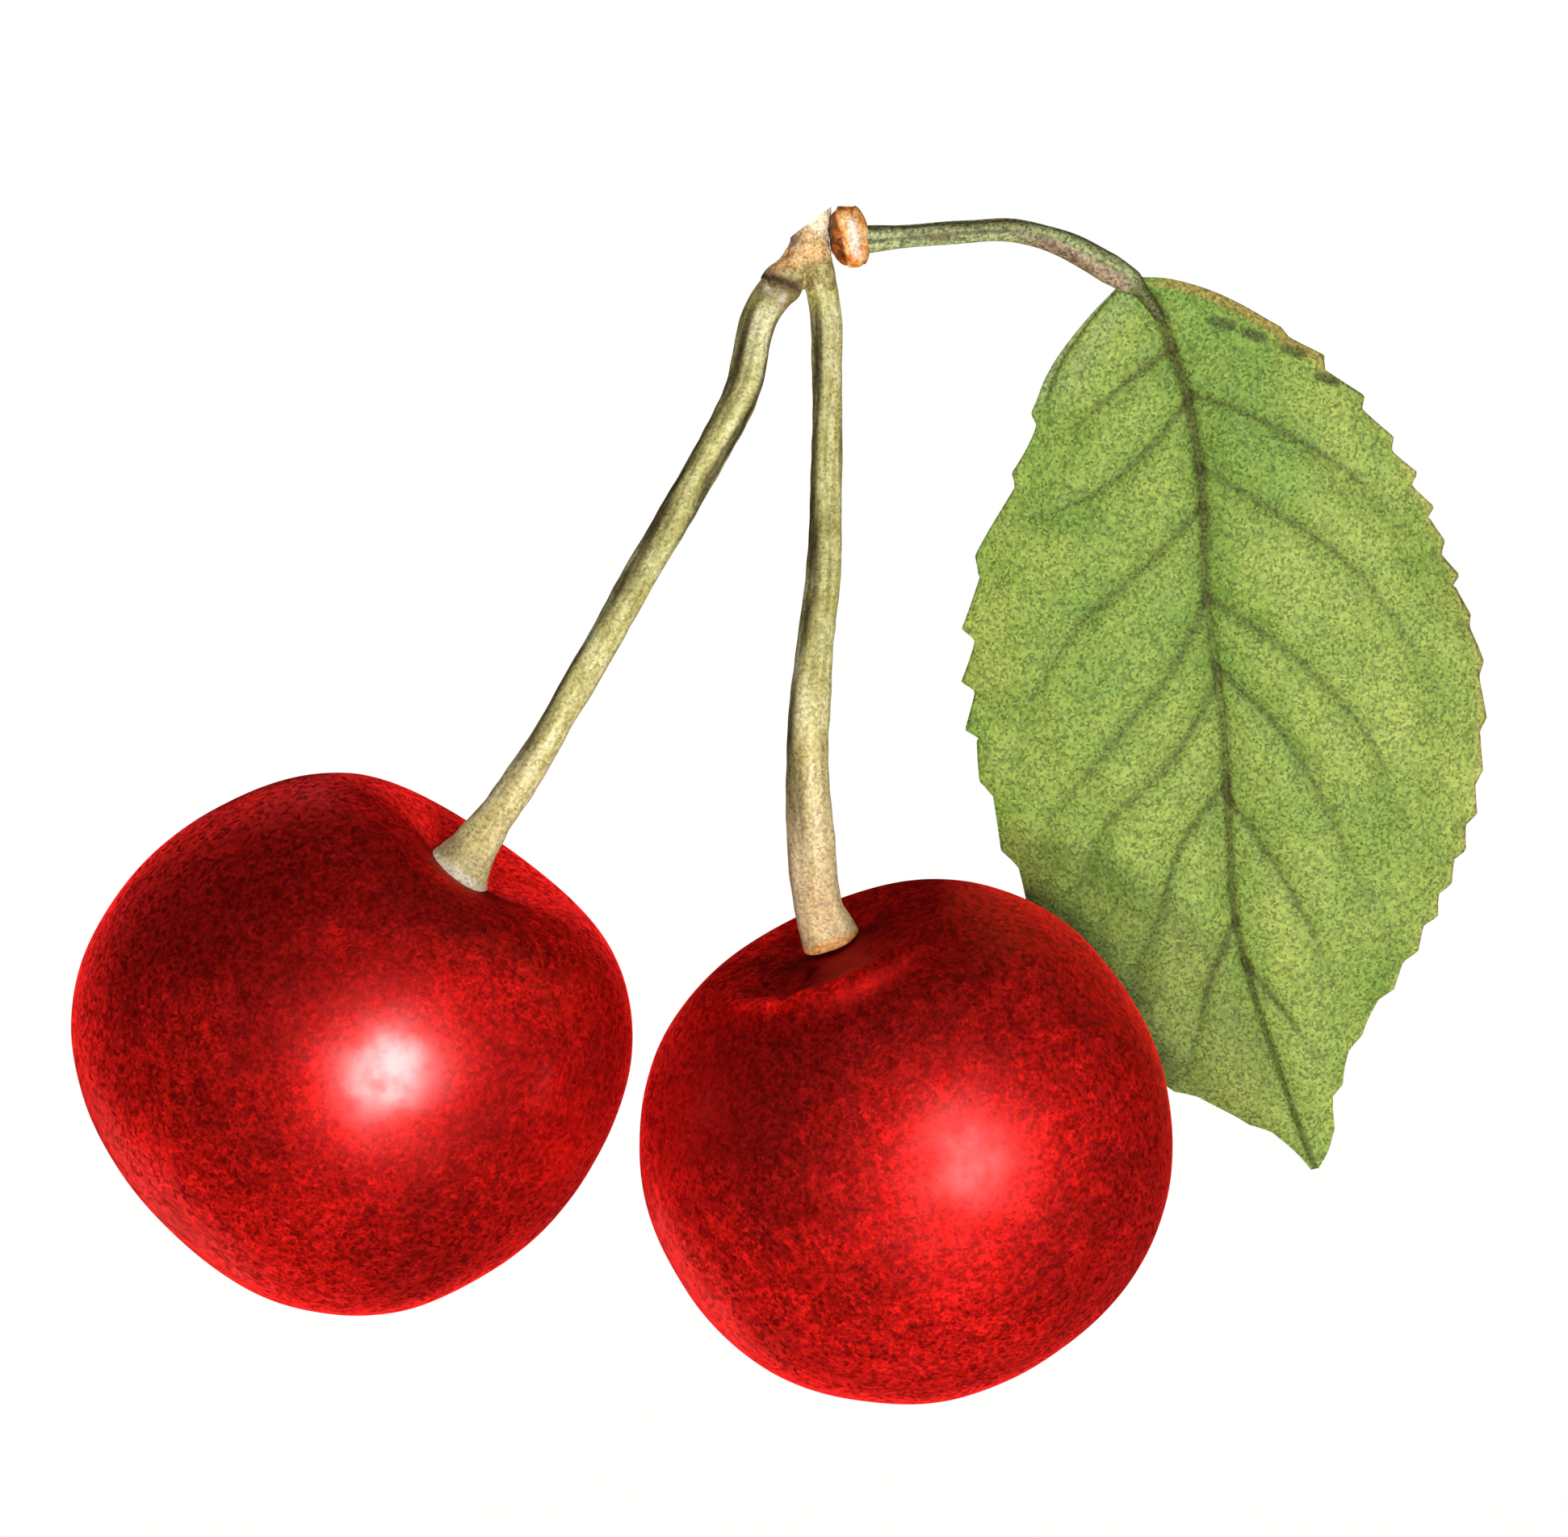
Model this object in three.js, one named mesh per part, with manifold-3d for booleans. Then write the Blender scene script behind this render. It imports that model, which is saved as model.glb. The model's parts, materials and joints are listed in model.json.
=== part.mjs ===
// Two sweet cherries on their stalks, with one leaf, hanging from a short woody spur.
//
// Millimetres. The origin is the middle of the cut face where the spur left its twig. +Z is up, +X runs towards the
// leaf, and the leaf's upper face looks towards -Y. The stalks curve down from the spur and each ends in the dished
// cavity of its fruit; the leaf hangs behind the right-hand fruit.

import * as THREE from "three";
import { mergeVertices } from "three/addons/utils/BufferGeometryUtils.js";
import Module from "manifold-3d";

const wasm = await Module();
wasm.setup();

// ---- driving dimensions -------------------------------------------------------------------------------------------

const SEAT_GAP = 0.15; // clearance where one piece sits on another

// A fruit's skin is a sphere with low, wide lobes [order, amount, bearing], pressed thinner from front to back, with
// a stalk cavity round its axis and a small swelling at the flower end. Bearings run clockwise from straight up.
const FRUIT_SIDES = 36;
const FRUIT_RINGS = 26;
const CAVITY_SHARPNESS = 2.4; // how square the cavity's wall is
const FLOWER_END_WIDTH = 0.2; // radians

const LEFT_FRUIT = {
  centre: [-22.7, 0, -40.5],
  radius: 13.5,
  axis: { bearing: 35, towardsFront: 10 },
  lobes: [[1, 0.2, 26], [2, 0.16, 102], [3, 0.21, 54], [4, 0.2, 3]],
  thinner: 0.8,
  cavity: { depth: 3.0, width: 0.38 },
  flowerEnd: 0.15,
};
const RIGHT_FRUIT = {
  centre: [4.9, 0, -45.5],
  radius: 13.1,
  axis: { bearing: -22, towardsFront: 19 },
  lobes: [[2, 0.25, 57], [3, 0.06, 20], [4, 0.1, 20]],
  thinner: 0.6,
  cavity: { depth: 1.7, width: 0.36 },
  flowerEnd: 0.35,
};

// The spur forks into two legs, one to each stalk. Its cut face looks up, away from the leaf.
const CUT_BEARING = -37;
const CUT_BLOCK = 8;
const LEFT_LEG = {
  path: [[0.3, 0, 1.6], [-0.15, 0, -0.9], [-0.8, 0, -2.2], [-1.6, 0, -3.3]],
  radii: [[0, 0.9], [0.45, 0.8], [0.75, 0.8], [0.9, 1.08], [1, 1.0]],
};
const RIGHT_LEG = {
  path: [[0.3, 0, 1.6], [0.12, 0, -0.9], [0.42, 0, -2.2], [0.62, 0, -3.3]],
  radii: [[0, 0.9], [0.5, 0.85], [1, 0.74]],
};
const LEG_SIDES = 16;
const LEG_STEPS = 14;

// Stalks: points between the spur and the fruit, and radii along the length.
const STALK_SIDES = 12;
const STALK_STEPS = 26;
const STRAIGHT_END = 1.3; // each stalk leaves its leg, and enters its cavity, in a straight line
const FOOT_CLEARANCE = 0.35; // the cavity's floor curves up round the flat foot
const LEFT_STALK = {
  path: [[-3.4, -0.5, -8.5], [-6.0, -1.4, -13.3], [-8.7, -2.4, -18.1], [-11.4, -3.1, -22.9], [-14.3, -3.0, -27.7]],
  radii: [[0, 0.95], [0.1, 0.9], [0.75, 0.8], [0.9, 0.92], [0.96, 1.15], [1, 1.5]],
};
const RIGHT_STALK = {
  path: [[0.9, -0.5, -7.3], [0.84, -1.7, -12.1], [0.7, -3.1, -16.9], [0.2, -4.4, -21.7], [-0.1, -5.2, -26.5],
    [0.05, -5.1, -30.1]],
  radii: [[0, 0.76], [0.3, 0.74], [0.45, 0.85], [0.7, 1.02], [0.85, 1.18], [0.95, 1.22], [1, 1.35]],
};

const BUD = {
  seat: [1.05, 0, -0.68], // middle of its flat face
  lean: 8, // degrees, top towards the spur
  radius: 1.5,
  length: 1.85,
  flatness: 0.78, // front to back, as a share of its height
  faceShare: 0.86, // how much of its radius the flat face keeps
  shoulder: 0.3, // straight wall before the dome begins
};
const BUD_SIDES = 20;
const BUD_ARC_STEPS = 8;

const PETIOLE = {
  path: [[4.6, 0.05, -0.62], [7.8, 0.3, -0.36], [10.2, 0.7, -0.28], [12.6, 1.2, -0.9], [14.4, 1.6, -1.8]],
  radii: [[0, 0.68], [0.12, 0.58], [0.55, 0.62], [0.85, 0.82], [1, 0.74]],
  shortOfBlade: 0.6,
};

// The blade lies along a straight line from its base to its tip. Its outlines are [along, across] from that line.
const LEAF = {
  base: [16.0, 1.9, -2.6],
  bearing: 11.9, // degrees that the tip swings away from straight down
  midrib: [[0, 0], [2.1, 1.0], [6.3, 1.8], [14.1, 0.9], [25.8, -0.3], [32.3, -1.1], [37.8, -0.8], [45.8, 0.3]],
  leftMargin: [[0, -0.3], [1.6, -2.6], [4.2, -5.3], [7.1, -6.7], [12.9, -10.6], [16.4, -11.6], [21.5, -12.4],
    [26.1, -11.8], [30.1, -11.2], [34.3, -10.2], [37.9, -8.3], [40.7, -5.3], [43.0, -2.1], [45.0, -0.3], [45.8, 0.1]],
  rightMargin: [[0, 0.3], [0.4, 1.8], [1.1, 3.3], [3.4, 6.3], [6.4, 8.9], [10.0, 10.9], [13.6, 12.2], [17.9, 13.0],
    [22.0, 13.4], [25.7, 12.9], [29.3, 11.8], [32.6, 9.9], [36.5, 6.8], [39.4, 3.9], [42.4, 2.0], [44.8, 1.3],
    [45.8, 0.5]],
  thickness: 0.36,
  midribHeight: 0.55, // how far the midrib stands out of the back at the base
  midribTaper: 0.7, // power of its fall to nothing at the tip
  leftTeeth: 17,
  rightTeeth: 25,
  toothDepth: 0.45, // half of it outside the margin's line, half inside
  toothClimb: 0.7, // share of a tooth that climbs before it drops off
  smoothBase: 0.1, // share of each margin with no teeth
  smoothTip: 0.93, // share from which the teeth fade out
  hangBack: 0.06, // slope and curve that carry the tip away from the front
  hangCurve: 0.0031,
  crown: 0.9, // each half of the blade bulges forward
  droop: 1.3, // and its margin falls back
};
const BLADE_COLUMNS = [-1, -0.8, -0.6, -0.4, -0.2, -0.06, 0, 0.06, 0.2, 0.4, 0.6, 0.8, 1];
const BLADE_STATIONS = 3 * LEAF.rightTeeth;
const TOOTH_REACH = 8; // power that keeps the teeth at the margin
const MIDRIB_HALF_WIDTH = 0.05; // as a share of the half blade

// ---- shared shapes ------------------------------------------------------------------------------------------------

const radians = THREE.MathUtils.degToRad;

function vector([x, y, z]) {
  return new THREE.Vector3(x, y, z);
}

function smoothCurve(points) {
  return new THREE.CatmullRomCurve3(points.map(vector), false, "centripetal");
}

// Straight-line interpolation in a list of [position, value] pairs.
function valueAt(pairs, position) {
  const next = Math.max(1, pairs.findIndex(([at]) => at >= position));
  const [[fromAt, fromValue], [toAt, toValue]] = [pairs[next - 1], pairs[next]];
  return THREE.MathUtils.mapLinear(position, fromAt, toAt, fromValue, toValue);
}

// A solid rod: turned as a straight lathe profile of unit length, then bent along a curve.
function bentRod(curve, radii, sides, steps) {
  const profile = [new THREE.Vector2(0, 0)];
  for (let step = 0; step <= steps; step += 1) {
    const along = step / steps;
    profile.push(new THREE.Vector2(valueAt(radii, along), along));
  }
  profile.push(new THREE.Vector2(0, 1));

  const rod = new THREE.LatheGeometry(profile, sides);
  const { normals, binormals } = curve.computeFrenetFrames(steps, false);
  const position = rod.getAttribute("position");
  for (let index = 0; index < position.count; index += 1) {
    const along = position.getY(index);
    const step = Math.round(along * steps);
    const point = curve.getPointAt(along)
      .addScaledVector(normals[step], position.getX(index))
      .addScaledVector(binormals[step], -position.getZ(index));
    position.setXYZ(index, point.x, point.y, point.z);
  }
  return rod;
}

function toSolid(geometry) {
  const bare = geometry.clone();
  bare.deleteAttribute("normal");
  bare.deleteAttribute("uv");
  const merged = mergeVertices(bare, 1e-4);
  return new wasm.Manifold(new wasm.Mesh({
    numProp: 3,
    vertProperties: new Float32Array(merged.getAttribute("position").array),
    triVerts: new Uint32Array(merged.getIndex().array),
  }));
}

function toGeometry(solid) {
  const { vertProperties, triVerts } = solid.getMesh();
  const geometry = new THREE.BufferGeometry();
  geometry.setAttribute("position", new THREE.BufferAttribute(vertProperties, 3));
  geometry.setIndex(new THREE.BufferAttribute(triVerts, 1));
  return geometry;
}

function piece(name, geometry, look) {
  const mesh = new THREE.Mesh(geometry, new THREE.MeshStandardMaterial({ metalness: 0, ...look }));
  mesh.name = name;
  return mesh;
}

// ---- fruit --------------------------------------------------------------------------------------------------------

// The direction of a fruit's stalk axis, pointing out of its cavity.
function axisOf({ axis }) {
  const bearing = radians(axis.bearing);
  const forward = radians(axis.towardsFront);
  const upright = Math.cos(forward);
  return new THREE.Vector3(upright * Math.sin(bearing), -Math.sin(forward), upright * Math.cos(bearing));
}

// How far a fruit's skin is from its centre along a unit direction.
function skinRadius(fruit, direction) {
  const bearing = Math.atan2(direction.x, direction.z);
  const spread = Math.hypot(direction.x, direction.z);
  const fromAxis = direction.angleTo(axisOf(fruit));
  const { depth, width } = fruit.cavity;

  let radius = fruit.radius - fruit.thinner * direction.y ** 2;
  for (const [order, amount, lobeBearing] of fruit.lobes) {
    radius += amount * spread ** order * Math.cos(order * (bearing - radians(lobeBearing)));
  }
  radius -= depth * Math.exp(-((fromAxis / width) ** CAVITY_SHARPNESS));
  radius += fruit.flowerEnd * Math.exp(-(((Math.PI - fromAxis) / FLOWER_END_WIDTH) ** 2));
  return radius;
}

function cherry(name, fruit, look) {
  const geometry = new THREE.SphereGeometry(1, FRUIT_SIDES, FRUIT_RINGS);
  const sphereAxis = new THREE.Vector3(0, 1, 0);
  geometry.applyQuaternion(new THREE.Quaternion().setFromUnitVectors(sphereAxis, axisOf(fruit)));
  const position = geometry.getAttribute("position");
  for (let index = 0; index < position.count; index += 1) {
    const direction = new THREE.Vector3().fromBufferAttribute(position, index).normalize();
    direction.multiplyScalar(skinRadius(fruit, direction));
    position.setXYZ(index, direction.x, direction.y, direction.z);
  }
  const mesh = piece(name, geometry, look);
  mesh.position.set(...fruit.centre);
  return mesh;
}

// The point where a stalk's foot stands over the floor of its fruit's cavity, lifted along the axis.
function overCavityFloor(fruit, lift) {
  const axis = axisOf(fruit);
  return vector(fruit.centre).addScaledVector(axis, skinRadius(fruit, axis) + lift);
}

// ---- stalks and spur ----------------------------------------------------------------------------------------------

function stalk(name, leg, { path, radii }, fruit, look) {
  const legEnd = vector(leg.path.at(-1));
  const legDirection = smoothCurve(leg.path).getTangent(1);
  const belowLeg = (distance) => legEnd.clone().addScaledVector(legDirection, distance).toArray();
  const overFloor = (lift) => overCavityFloor(fruit, lift).toArray();
  const points = [
    belowLeg(SEAT_GAP),
    belowLeg(SEAT_GAP + STRAIGHT_END),
    ...path,
    overFloor(FOOT_CLEARANCE + STRAIGHT_END),
    overFloor(FOOT_CLEARANCE),
  ];
  return piece(name, bentRod(smoothCurve(points), radii, STALK_SIDES, STALK_STEPS), look);
}

// Everything above the spur's cut face, as a block to take away.
function aboveCutFace() {
  const block = new THREE.BoxGeometry(CUT_BLOCK, CUT_BLOCK, CUT_BLOCK);
  block.translate(0, 0, CUT_BLOCK / 2);
  block.rotateY(radians(CUT_BEARING));
  return block;
}

function spur(look) {
  const [left, right] = [LEFT_LEG, RIGHT_LEG].map(({ path, radii }) => (
    toSolid(bentRod(smoothCurve(path), radii, LEG_SIDES, LEG_STEPS))));
  const seat = toSolid(budShape(SEAT_GAP));
  const solid = left.add(right).subtract(toSolid(aboveCutFace())).subtract(seat);
  return piece("spur", toGeometry(solid), look);
}

// A dome on a flat face, turned about +X and grown by a margin all round.
function budShape(margin) {
  const radius = BUD.radius + margin;
  const domeHeight = BUD.length + margin - BUD.shoulder;
  const profile = [new THREE.Vector2(0, -margin), new THREE.Vector2(radius * BUD.faceShare, -margin)];
  for (let step = 0; step <= BUD_ARC_STEPS; step += 1) {
    const angle = (step / BUD_ARC_STEPS) * (Math.PI / 2);
    profile.push(new THREE.Vector2(radius * Math.cos(angle), BUD.shoulder + domeHeight * Math.sin(angle)));
  }
  profile.at(-1).x = 0;
  const dome = new THREE.LatheGeometry(profile, BUD_SIDES);
  dome.rotateZ(-Math.PI / 2);
  dome.scale(1, BUD.flatness, 1);
  dome.rotateY(radians(BUD.lean));
  dome.translate(...BUD.seat);
  return dome;
}

// ---- leaf ---------------------------------------------------------------------------------------------------------

function petiole(look) {
  const drop = BUD.length * Math.sin(radians(BUD.lean));
  const budTip = vector(BUD.seat).add(new THREE.Vector3(BUD.length + SEAT_GAP, 0, -drop));
  const bladeBase = vector(LEAF.base);
  const points = [budTip.toArray(), ...PETIOLE.path];
  const arrival = bladeBase.clone().sub(vector(PETIOLE.path.at(-1))).normalize();
  points.push(bladeBase.addScaledVector(arrival, -PETIOLE.shortOfBlade).toArray());
  return piece("petiole", bentRod(smoothCurve(points), PETIOLE.radii, STALK_SIDES, STALK_STEPS), look);
}

function outline(points) {
  return new THREE.SplineCurve(points.map(([along, across]) => new THREE.Vector2(across, along)));
}

// How far a tooth stands out of the margin at a share of its length: each tooth climbs slowly and drops off sharply
// towards the tip.
function toothHeight(share, teeth) {
  const phase = (share * teeth) % 1;
  const climb = phase < LEAF.toothClimb ? phase / LEAF.toothClimb : (1 - phase) / (1 - LEAF.toothClimb);
  const grown = THREE.MathUtils.smoothstep(share, LEAF.smoothBase, LEAF.smoothBase * 2);
  const fading = 1 - THREE.MathUtils.smoothstep(share, LEAF.smoothTip, 1);
  return LEAF.toothDepth * grown * fading * (climb - 0.5);
}

// How far back the blade's middle surface lies, given the distance along it and the share from midrib to margin.
function bladeDepth(along, side, share) {
  const hang = LEAF.hangBack * along + LEAF.hangCurve * along ** 2;
  const fullness = Math.sin(Math.PI * share);
  const swell = 4 * Math.abs(side) * (1 - Math.abs(side)); // 1 halfway across, 0 at the midrib and the margin
  const crown = LEAF.crown * fullness * swell;
  return hang - crown + LEAF.droop * fullness * side ** 2;
}

// The blade is a grid of points: stations from base to tip, columns from the left margin to the right one. The front
// and back faces share the grid's outline, so the two skins close along the margins.
function leafBlade(look) {
  const midrib = outline(LEAF.midrib);
  const left = { margin: outline(LEAF.leftMargin), teeth: LEAF.leftTeeth };
  const right = { margin: outline(LEAF.rightMargin), teeth: LEAF.rightTeeth };
  const points = [];
  for (const face of [-1, 1]) {
    for (let station = 0; station <= BLADE_STATIONS; station += 1) {
      const share = station / BLADE_STATIONS;
      const centre = midrib.getPointAt(share);
      for (const side of BLADE_COLUMNS) {
        const { margin, teeth } = side < 0 ? left : right;
        const reach = margin.getPointAt(share).sub(centre);
        const tooth = toothHeight(share, teeth) * Math.abs(side) ** TOOTH_REACH;
        const place = centre.clone().addScaledVector(reach, Math.abs(side)).addScaledVector(reach.normalize(), tooth);
        const ridge = Math.exp(-((side / MIDRIB_HALF_WIDTH) ** 2)) * (1 - share) ** LEAF.midribTaper;
        const half = LEAF.thickness / 2 + (face > 0 ? ridge * LEAF.midribHeight : 0);
        points.push(place.x, bladeDepth(place.y, side, share) + face * half, -place.y);
      }
    }
  }
  const geometry = new THREE.BufferGeometry();
  geometry.setAttribute("position", new THREE.Float32BufferAttribute(points, 3));
  geometry.setIndex(closedGridFaces(BLADE_STATIONS, BLADE_COLUMNS.length));

  const mesh = piece("leaf_blade", geometry, look);
  mesh.position.set(...LEAF.base);
  mesh.rotation.y = -radians(LEAF.bearing);
  return mesh;
}

// Triangles of two facing grids, front then back, joined by a wall round their outline.
function closedGridFaces(stations, columns) {
  const faces = [];
  const quad = (a, b, c, d) => faces.push(a, b, c, a, c, d);
  const front = (station, column) => station * columns + column;
  const back = (station, column) => front(station + stations + 1, column);
  for (let station = 0; station < stations; station += 1) {
    for (let column = 0; column < columns - 1; column += 1) {
      quad(front(station, column), front(station + 1, column), front(station + 1, column + 1),
        front(station, column + 1));
      quad(back(station, column), back(station, column + 1), back(station + 1, column + 1),
        back(station + 1, column));
    }
    quad(front(station, 0), back(station, 0), back(station + 1, 0), front(station + 1, 0));
    const last = columns - 1;
    quad(front(station, last), front(station + 1, last), back(station + 1, last), back(station, last));
  }
  for (let column = 0; column < columns - 1; column += 1) {
    quad(front(0, column), front(0, column + 1), back(0, column + 1), back(0, column));
    quad(front(stations, column), back(stations, column), back(stations, column + 1), front(stations, column + 1));
  }
  return faces;
}

// ---- the object ---------------------------------------------------------------------------------------------------

const SKIN_RED = { color: 0xa80f0c, roughness: 0.32 };
const STALK_GREEN = { color: 0xa8a35e, roughness: 0.7 };
const LEAF_GREEN = { color: 0x86a558, roughness: 0.65 };
const BARK_TAN = { color: 0xc08a55, roughness: 0.85 };
const BUD_ORANGE = { color: 0xd9822f, roughness: 0.5 };

const cherries = new THREE.Group();
cherries.add(
  cherry("cherry_left", LEFT_FRUIT, SKIN_RED),
  cherry("cherry_right", RIGHT_FRUIT, SKIN_RED),
  stalk("stalk_left", LEFT_LEG, LEFT_STALK, LEFT_FRUIT, STALK_GREEN),
  stalk("stalk_right", RIGHT_LEG, RIGHT_STALK, RIGHT_FRUIT, STALK_GREEN),
  spur(BARK_TAN),
  piece("bud", budShape(0), BUD_ORANGE),
  petiole(STALK_GREEN),
  leafBlade(LEAF_GREEN),
);

export default cherries;
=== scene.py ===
"""Two sweet cherries on their stalks with one leaf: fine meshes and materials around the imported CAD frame.

Lengths are millimetres in the frame's own axes until a mesh is made, which is where they become metres.
+Z is up, +X runs towards the leaf and -Y is the front.
"""
import json
import math

import bmesh
import bpy
import numpy as np
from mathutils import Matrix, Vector


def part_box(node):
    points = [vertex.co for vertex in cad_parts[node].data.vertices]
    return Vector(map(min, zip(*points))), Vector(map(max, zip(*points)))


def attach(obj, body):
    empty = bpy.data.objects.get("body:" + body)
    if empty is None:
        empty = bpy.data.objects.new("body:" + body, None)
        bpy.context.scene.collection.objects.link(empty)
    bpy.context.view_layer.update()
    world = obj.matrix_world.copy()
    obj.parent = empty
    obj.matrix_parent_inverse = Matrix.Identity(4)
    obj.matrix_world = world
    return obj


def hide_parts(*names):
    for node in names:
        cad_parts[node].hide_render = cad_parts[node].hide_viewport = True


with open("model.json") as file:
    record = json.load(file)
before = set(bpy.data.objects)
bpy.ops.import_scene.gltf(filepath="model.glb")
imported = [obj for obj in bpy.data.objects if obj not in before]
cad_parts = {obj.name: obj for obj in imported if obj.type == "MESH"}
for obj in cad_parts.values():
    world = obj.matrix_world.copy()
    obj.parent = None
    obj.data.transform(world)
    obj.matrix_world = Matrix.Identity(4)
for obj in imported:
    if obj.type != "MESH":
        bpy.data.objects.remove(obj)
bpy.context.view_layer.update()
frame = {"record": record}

MM = 0.001
FRONT = np.array([0.0, -1.0, 0.0])

# ---- the camera's view, the stage and the lights ----

VIEW_CENTRE = (-1.24, -27.0)  # x and z that the camera looks straight at
VIEW_WIDTH = 77.7  # what the frame spans at the object
LENS = 200.0
SENSOR = 36.0
LIT_POINT = np.array([-4.0, 0.0, -38.0])  # what the lamps look at


def camera():
    distance = VIEW_WIDTH * LENS / SENSOR
    data = bpy.data.cameras.new("camera")
    data.lens = LENS
    data.sensor_width = SENSOR
    data.sensor_fit = "HORIZONTAL"
    data.clip_start = 0.01
    data.clip_end = 20.0
    eye = bpy.data.objects.new("camera", data)
    eye.location = (VIEW_CENTRE[0] * MM, -distance * MM, VIEW_CENTRE[1] * MM)
    eye.rotation_euler = (math.radians(90), 0, 0)
    bpy.context.scene.collection.objects.link(eye)
    bpy.context.scene.camera = eye


def stage():
    """A pale floor that sweeps up into a wall all round, far enough away to show no edge."""
    floor_depth = -350.0
    flat_radius = 900.0
    sweep_radius = 900.0
    wall_top = 2600.0
    sides = 96
    sweep = np.radians(np.linspace(0, 90, 25))
    out = flat_radius + sweep_radius * np.sin(sweep)
    radius = np.concatenate([[flat_radius / 2], out, out[-1:]])
    height = np.concatenate([[0.0], sweep_radius * (1 - np.cos(sweep)), [wall_top]]) + floor_depth
    angle = np.linspace(0, 2 * math.pi, sides, endpoint=False)
    rings = np.stack([
        radius[:, None] * np.cos(angle),
        radius[:, None] * np.sin(angle),
        np.repeat(height[:, None], sides, axis=1),
    ], axis=-1)
    centre = np.array([0.0, 0.0, floor_depth])
    faces = [(0, 1 + side, 1 + (side + 1) % sides) for side in range(sides)]
    faces += ring_quads(len(radius), sides, 1)
    paper = Material("stage_paper")
    paper.set(**{"Base Color": (0.86, 0.86, 0.85), "Roughness": 0.95, "Specular IOR Level": 0.0})
    paper.set(**{"Emission Color": (1, 1, 1), "Emission Strength": 0.62})
    floor = mesh_object("stage_floor", np.vstack([centre, rings.reshape(-1, 3)]), faces, paper.data)
    # The paper is only seen: it throws no light of its own on the object.
    floor.visible_diffuse = False
    floor.visible_glossy = False
    floor.visible_transmission = False
    floor.visible_shadow = False


def soft_light(name, bearing, height, distance, size, power, mirrored=False):
    """An area light that looks at the fruit. Bearing 0 is the camera's side and 90 the leaf's side (+X);
    size is its width and height. Only a mirrored light shows in glossy skin."""
    around = math.radians(bearing)
    up = math.radians(height)
    away = np.array([math.cos(up) * math.sin(around), -math.cos(up) * math.cos(around), math.sin(up)])
    data = bpy.data.lights.new(name, "AREA")
    data.shape = "ELLIPSE"
    data.size = size[0] * MM
    data.size_y = size[1] * MM
    data.energy = power
    lamp = bpy.data.objects.new(name, data)
    lamp.location = (LIT_POINT + away * distance) * MM
    lamp.rotation_euler = Vector(away.tolist()).to_track_quat("Z", "Y").to_euler()
    lamp.visible_camera = False
    lamp.visible_glossy = mirrored
    bpy.context.scene.collection.objects.link(lamp)


def lights():
    soft_light("key", bearing=18, height=-10, distance=620, size=(240, 330), power=4.0,
               mirrored=True)
    soft_light("fill", bearing=-22, height=-14, distance=620, size=(60, 60), power=2.2)
    soft_light("left_rim", bearing=-142, height=-26, distance=520, size=(300, 300), power=4.2)
    soft_light("top_rim", bearing=-165, height=48, distance=520, size=(260, 260), power=2.2)
    world = bpy.data.worlds.new("soft_room")
    world.use_nodes = True
    sky = world.node_tree.nodes["Background"]
    sky.inputs["Color"].default_value = (1.0, 0.99, 0.98, 1)
    sky.inputs["Strength"].default_value = 0.36
    world.cycles_visibility.glossy = False
    bpy.context.scene.world = world
    bpy.context.scene.view_settings.view_transform = "Standard"


# ---- curves and meshes ----

def unit(vectors):
    return vectors / np.linalg.norm(vectors, axis=-1, keepdims=True)


def ease(value, start, end):
    """0 before start, 1 after end and a smooth climb between them."""
    share = np.clip((np.asarray(value, dtype=float) - start) / (end - start), 0, 1)
    return share * share * (3 - 2 * share)


def bell(value, middle, width):
    return np.exp(-(((np.asarray(value, dtype=float) - middle) / width) ** 2))


def wrapped(angle):
    """The same angle in radians, within half a turn of 0."""
    return np.angle(np.exp(1j * angle))


def smooth_line(points, count):
    """Evenly spaced points along a smooth curve through the points given."""
    points = np.asarray(points, dtype=float)
    knots = np.concatenate([[0], np.cumsum(np.linalg.norm(np.diff(points, axis=0), axis=1))])
    slopes = np.gradient(points, knots, axis=0)
    fine = np.linspace(0, knots[-1], 60 * len(points))
    cell = np.clip(np.searchsorted(knots, fine, side="right") - 1, 0, len(points) - 2)
    width = np.diff(knots)[cell][:, None]
    t = (fine - knots[cell])[:, None] / width
    line = (
        (2 * t**3 - 3 * t**2 + 1) * points[cell]
        + (t**3 - 2 * t**2 + t) * width * slopes[cell]
        + (3 * t**2 - 2 * t**3) * points[cell + 1]
        + (t**3 - t**2) * width * slopes[cell + 1]
    )
    lengths = np.concatenate([[0], np.cumsum(np.linalg.norm(np.diff(line, axis=0), axis=1))])
    even = np.linspace(0, lengths[-1], count)
    return np.stack([np.interp(even, lengths, line[:, axis]) for axis in range(line.shape[1])], axis=1)


def value_along(pairs, share):
    at, value = np.array(pairs, dtype=float).T
    return np.interp(share, at, value)


def ripple(points, wavelength, seed, waves=10):
    """Smooth noise of about -1 to 1 at each point: plane waves in random directions."""
    rng = np.random.default_rng(seed)
    directions = unit(rng.normal(size=(waves, 3)))
    rates = 2 * math.pi / wavelength * rng.uniform(0.65, 1.5, waves)
    phases = rng.uniform(0, 2 * math.pi, waves)
    return np.sin(points @ (directions * rates[:, None]).T + phases).sum(axis=-1) / math.sqrt(waves)


def round_a_rod(share, angle, length):
    """A place on a rod of radius 1 and this length for each share and angle, where a ripple is read."""
    return np.stack([share * length + 0 * angle, np.cos(angle) + 0 * share, np.sin(angle) + 0 * share],
                    axis=-1)


def ring_quads(rings, sides, first):
    """Quads between rings of points. They face out where a ring turns anticlockwise about the way ahead."""
    quads = []
    for ring in range(rings - 1):
        low = first + ring * sides
        for side in range(sides):
            after = (side + 1) % sides
            quads.append((low + side, low + after, low + sides + after, low + sides + side))
    return quads


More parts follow.
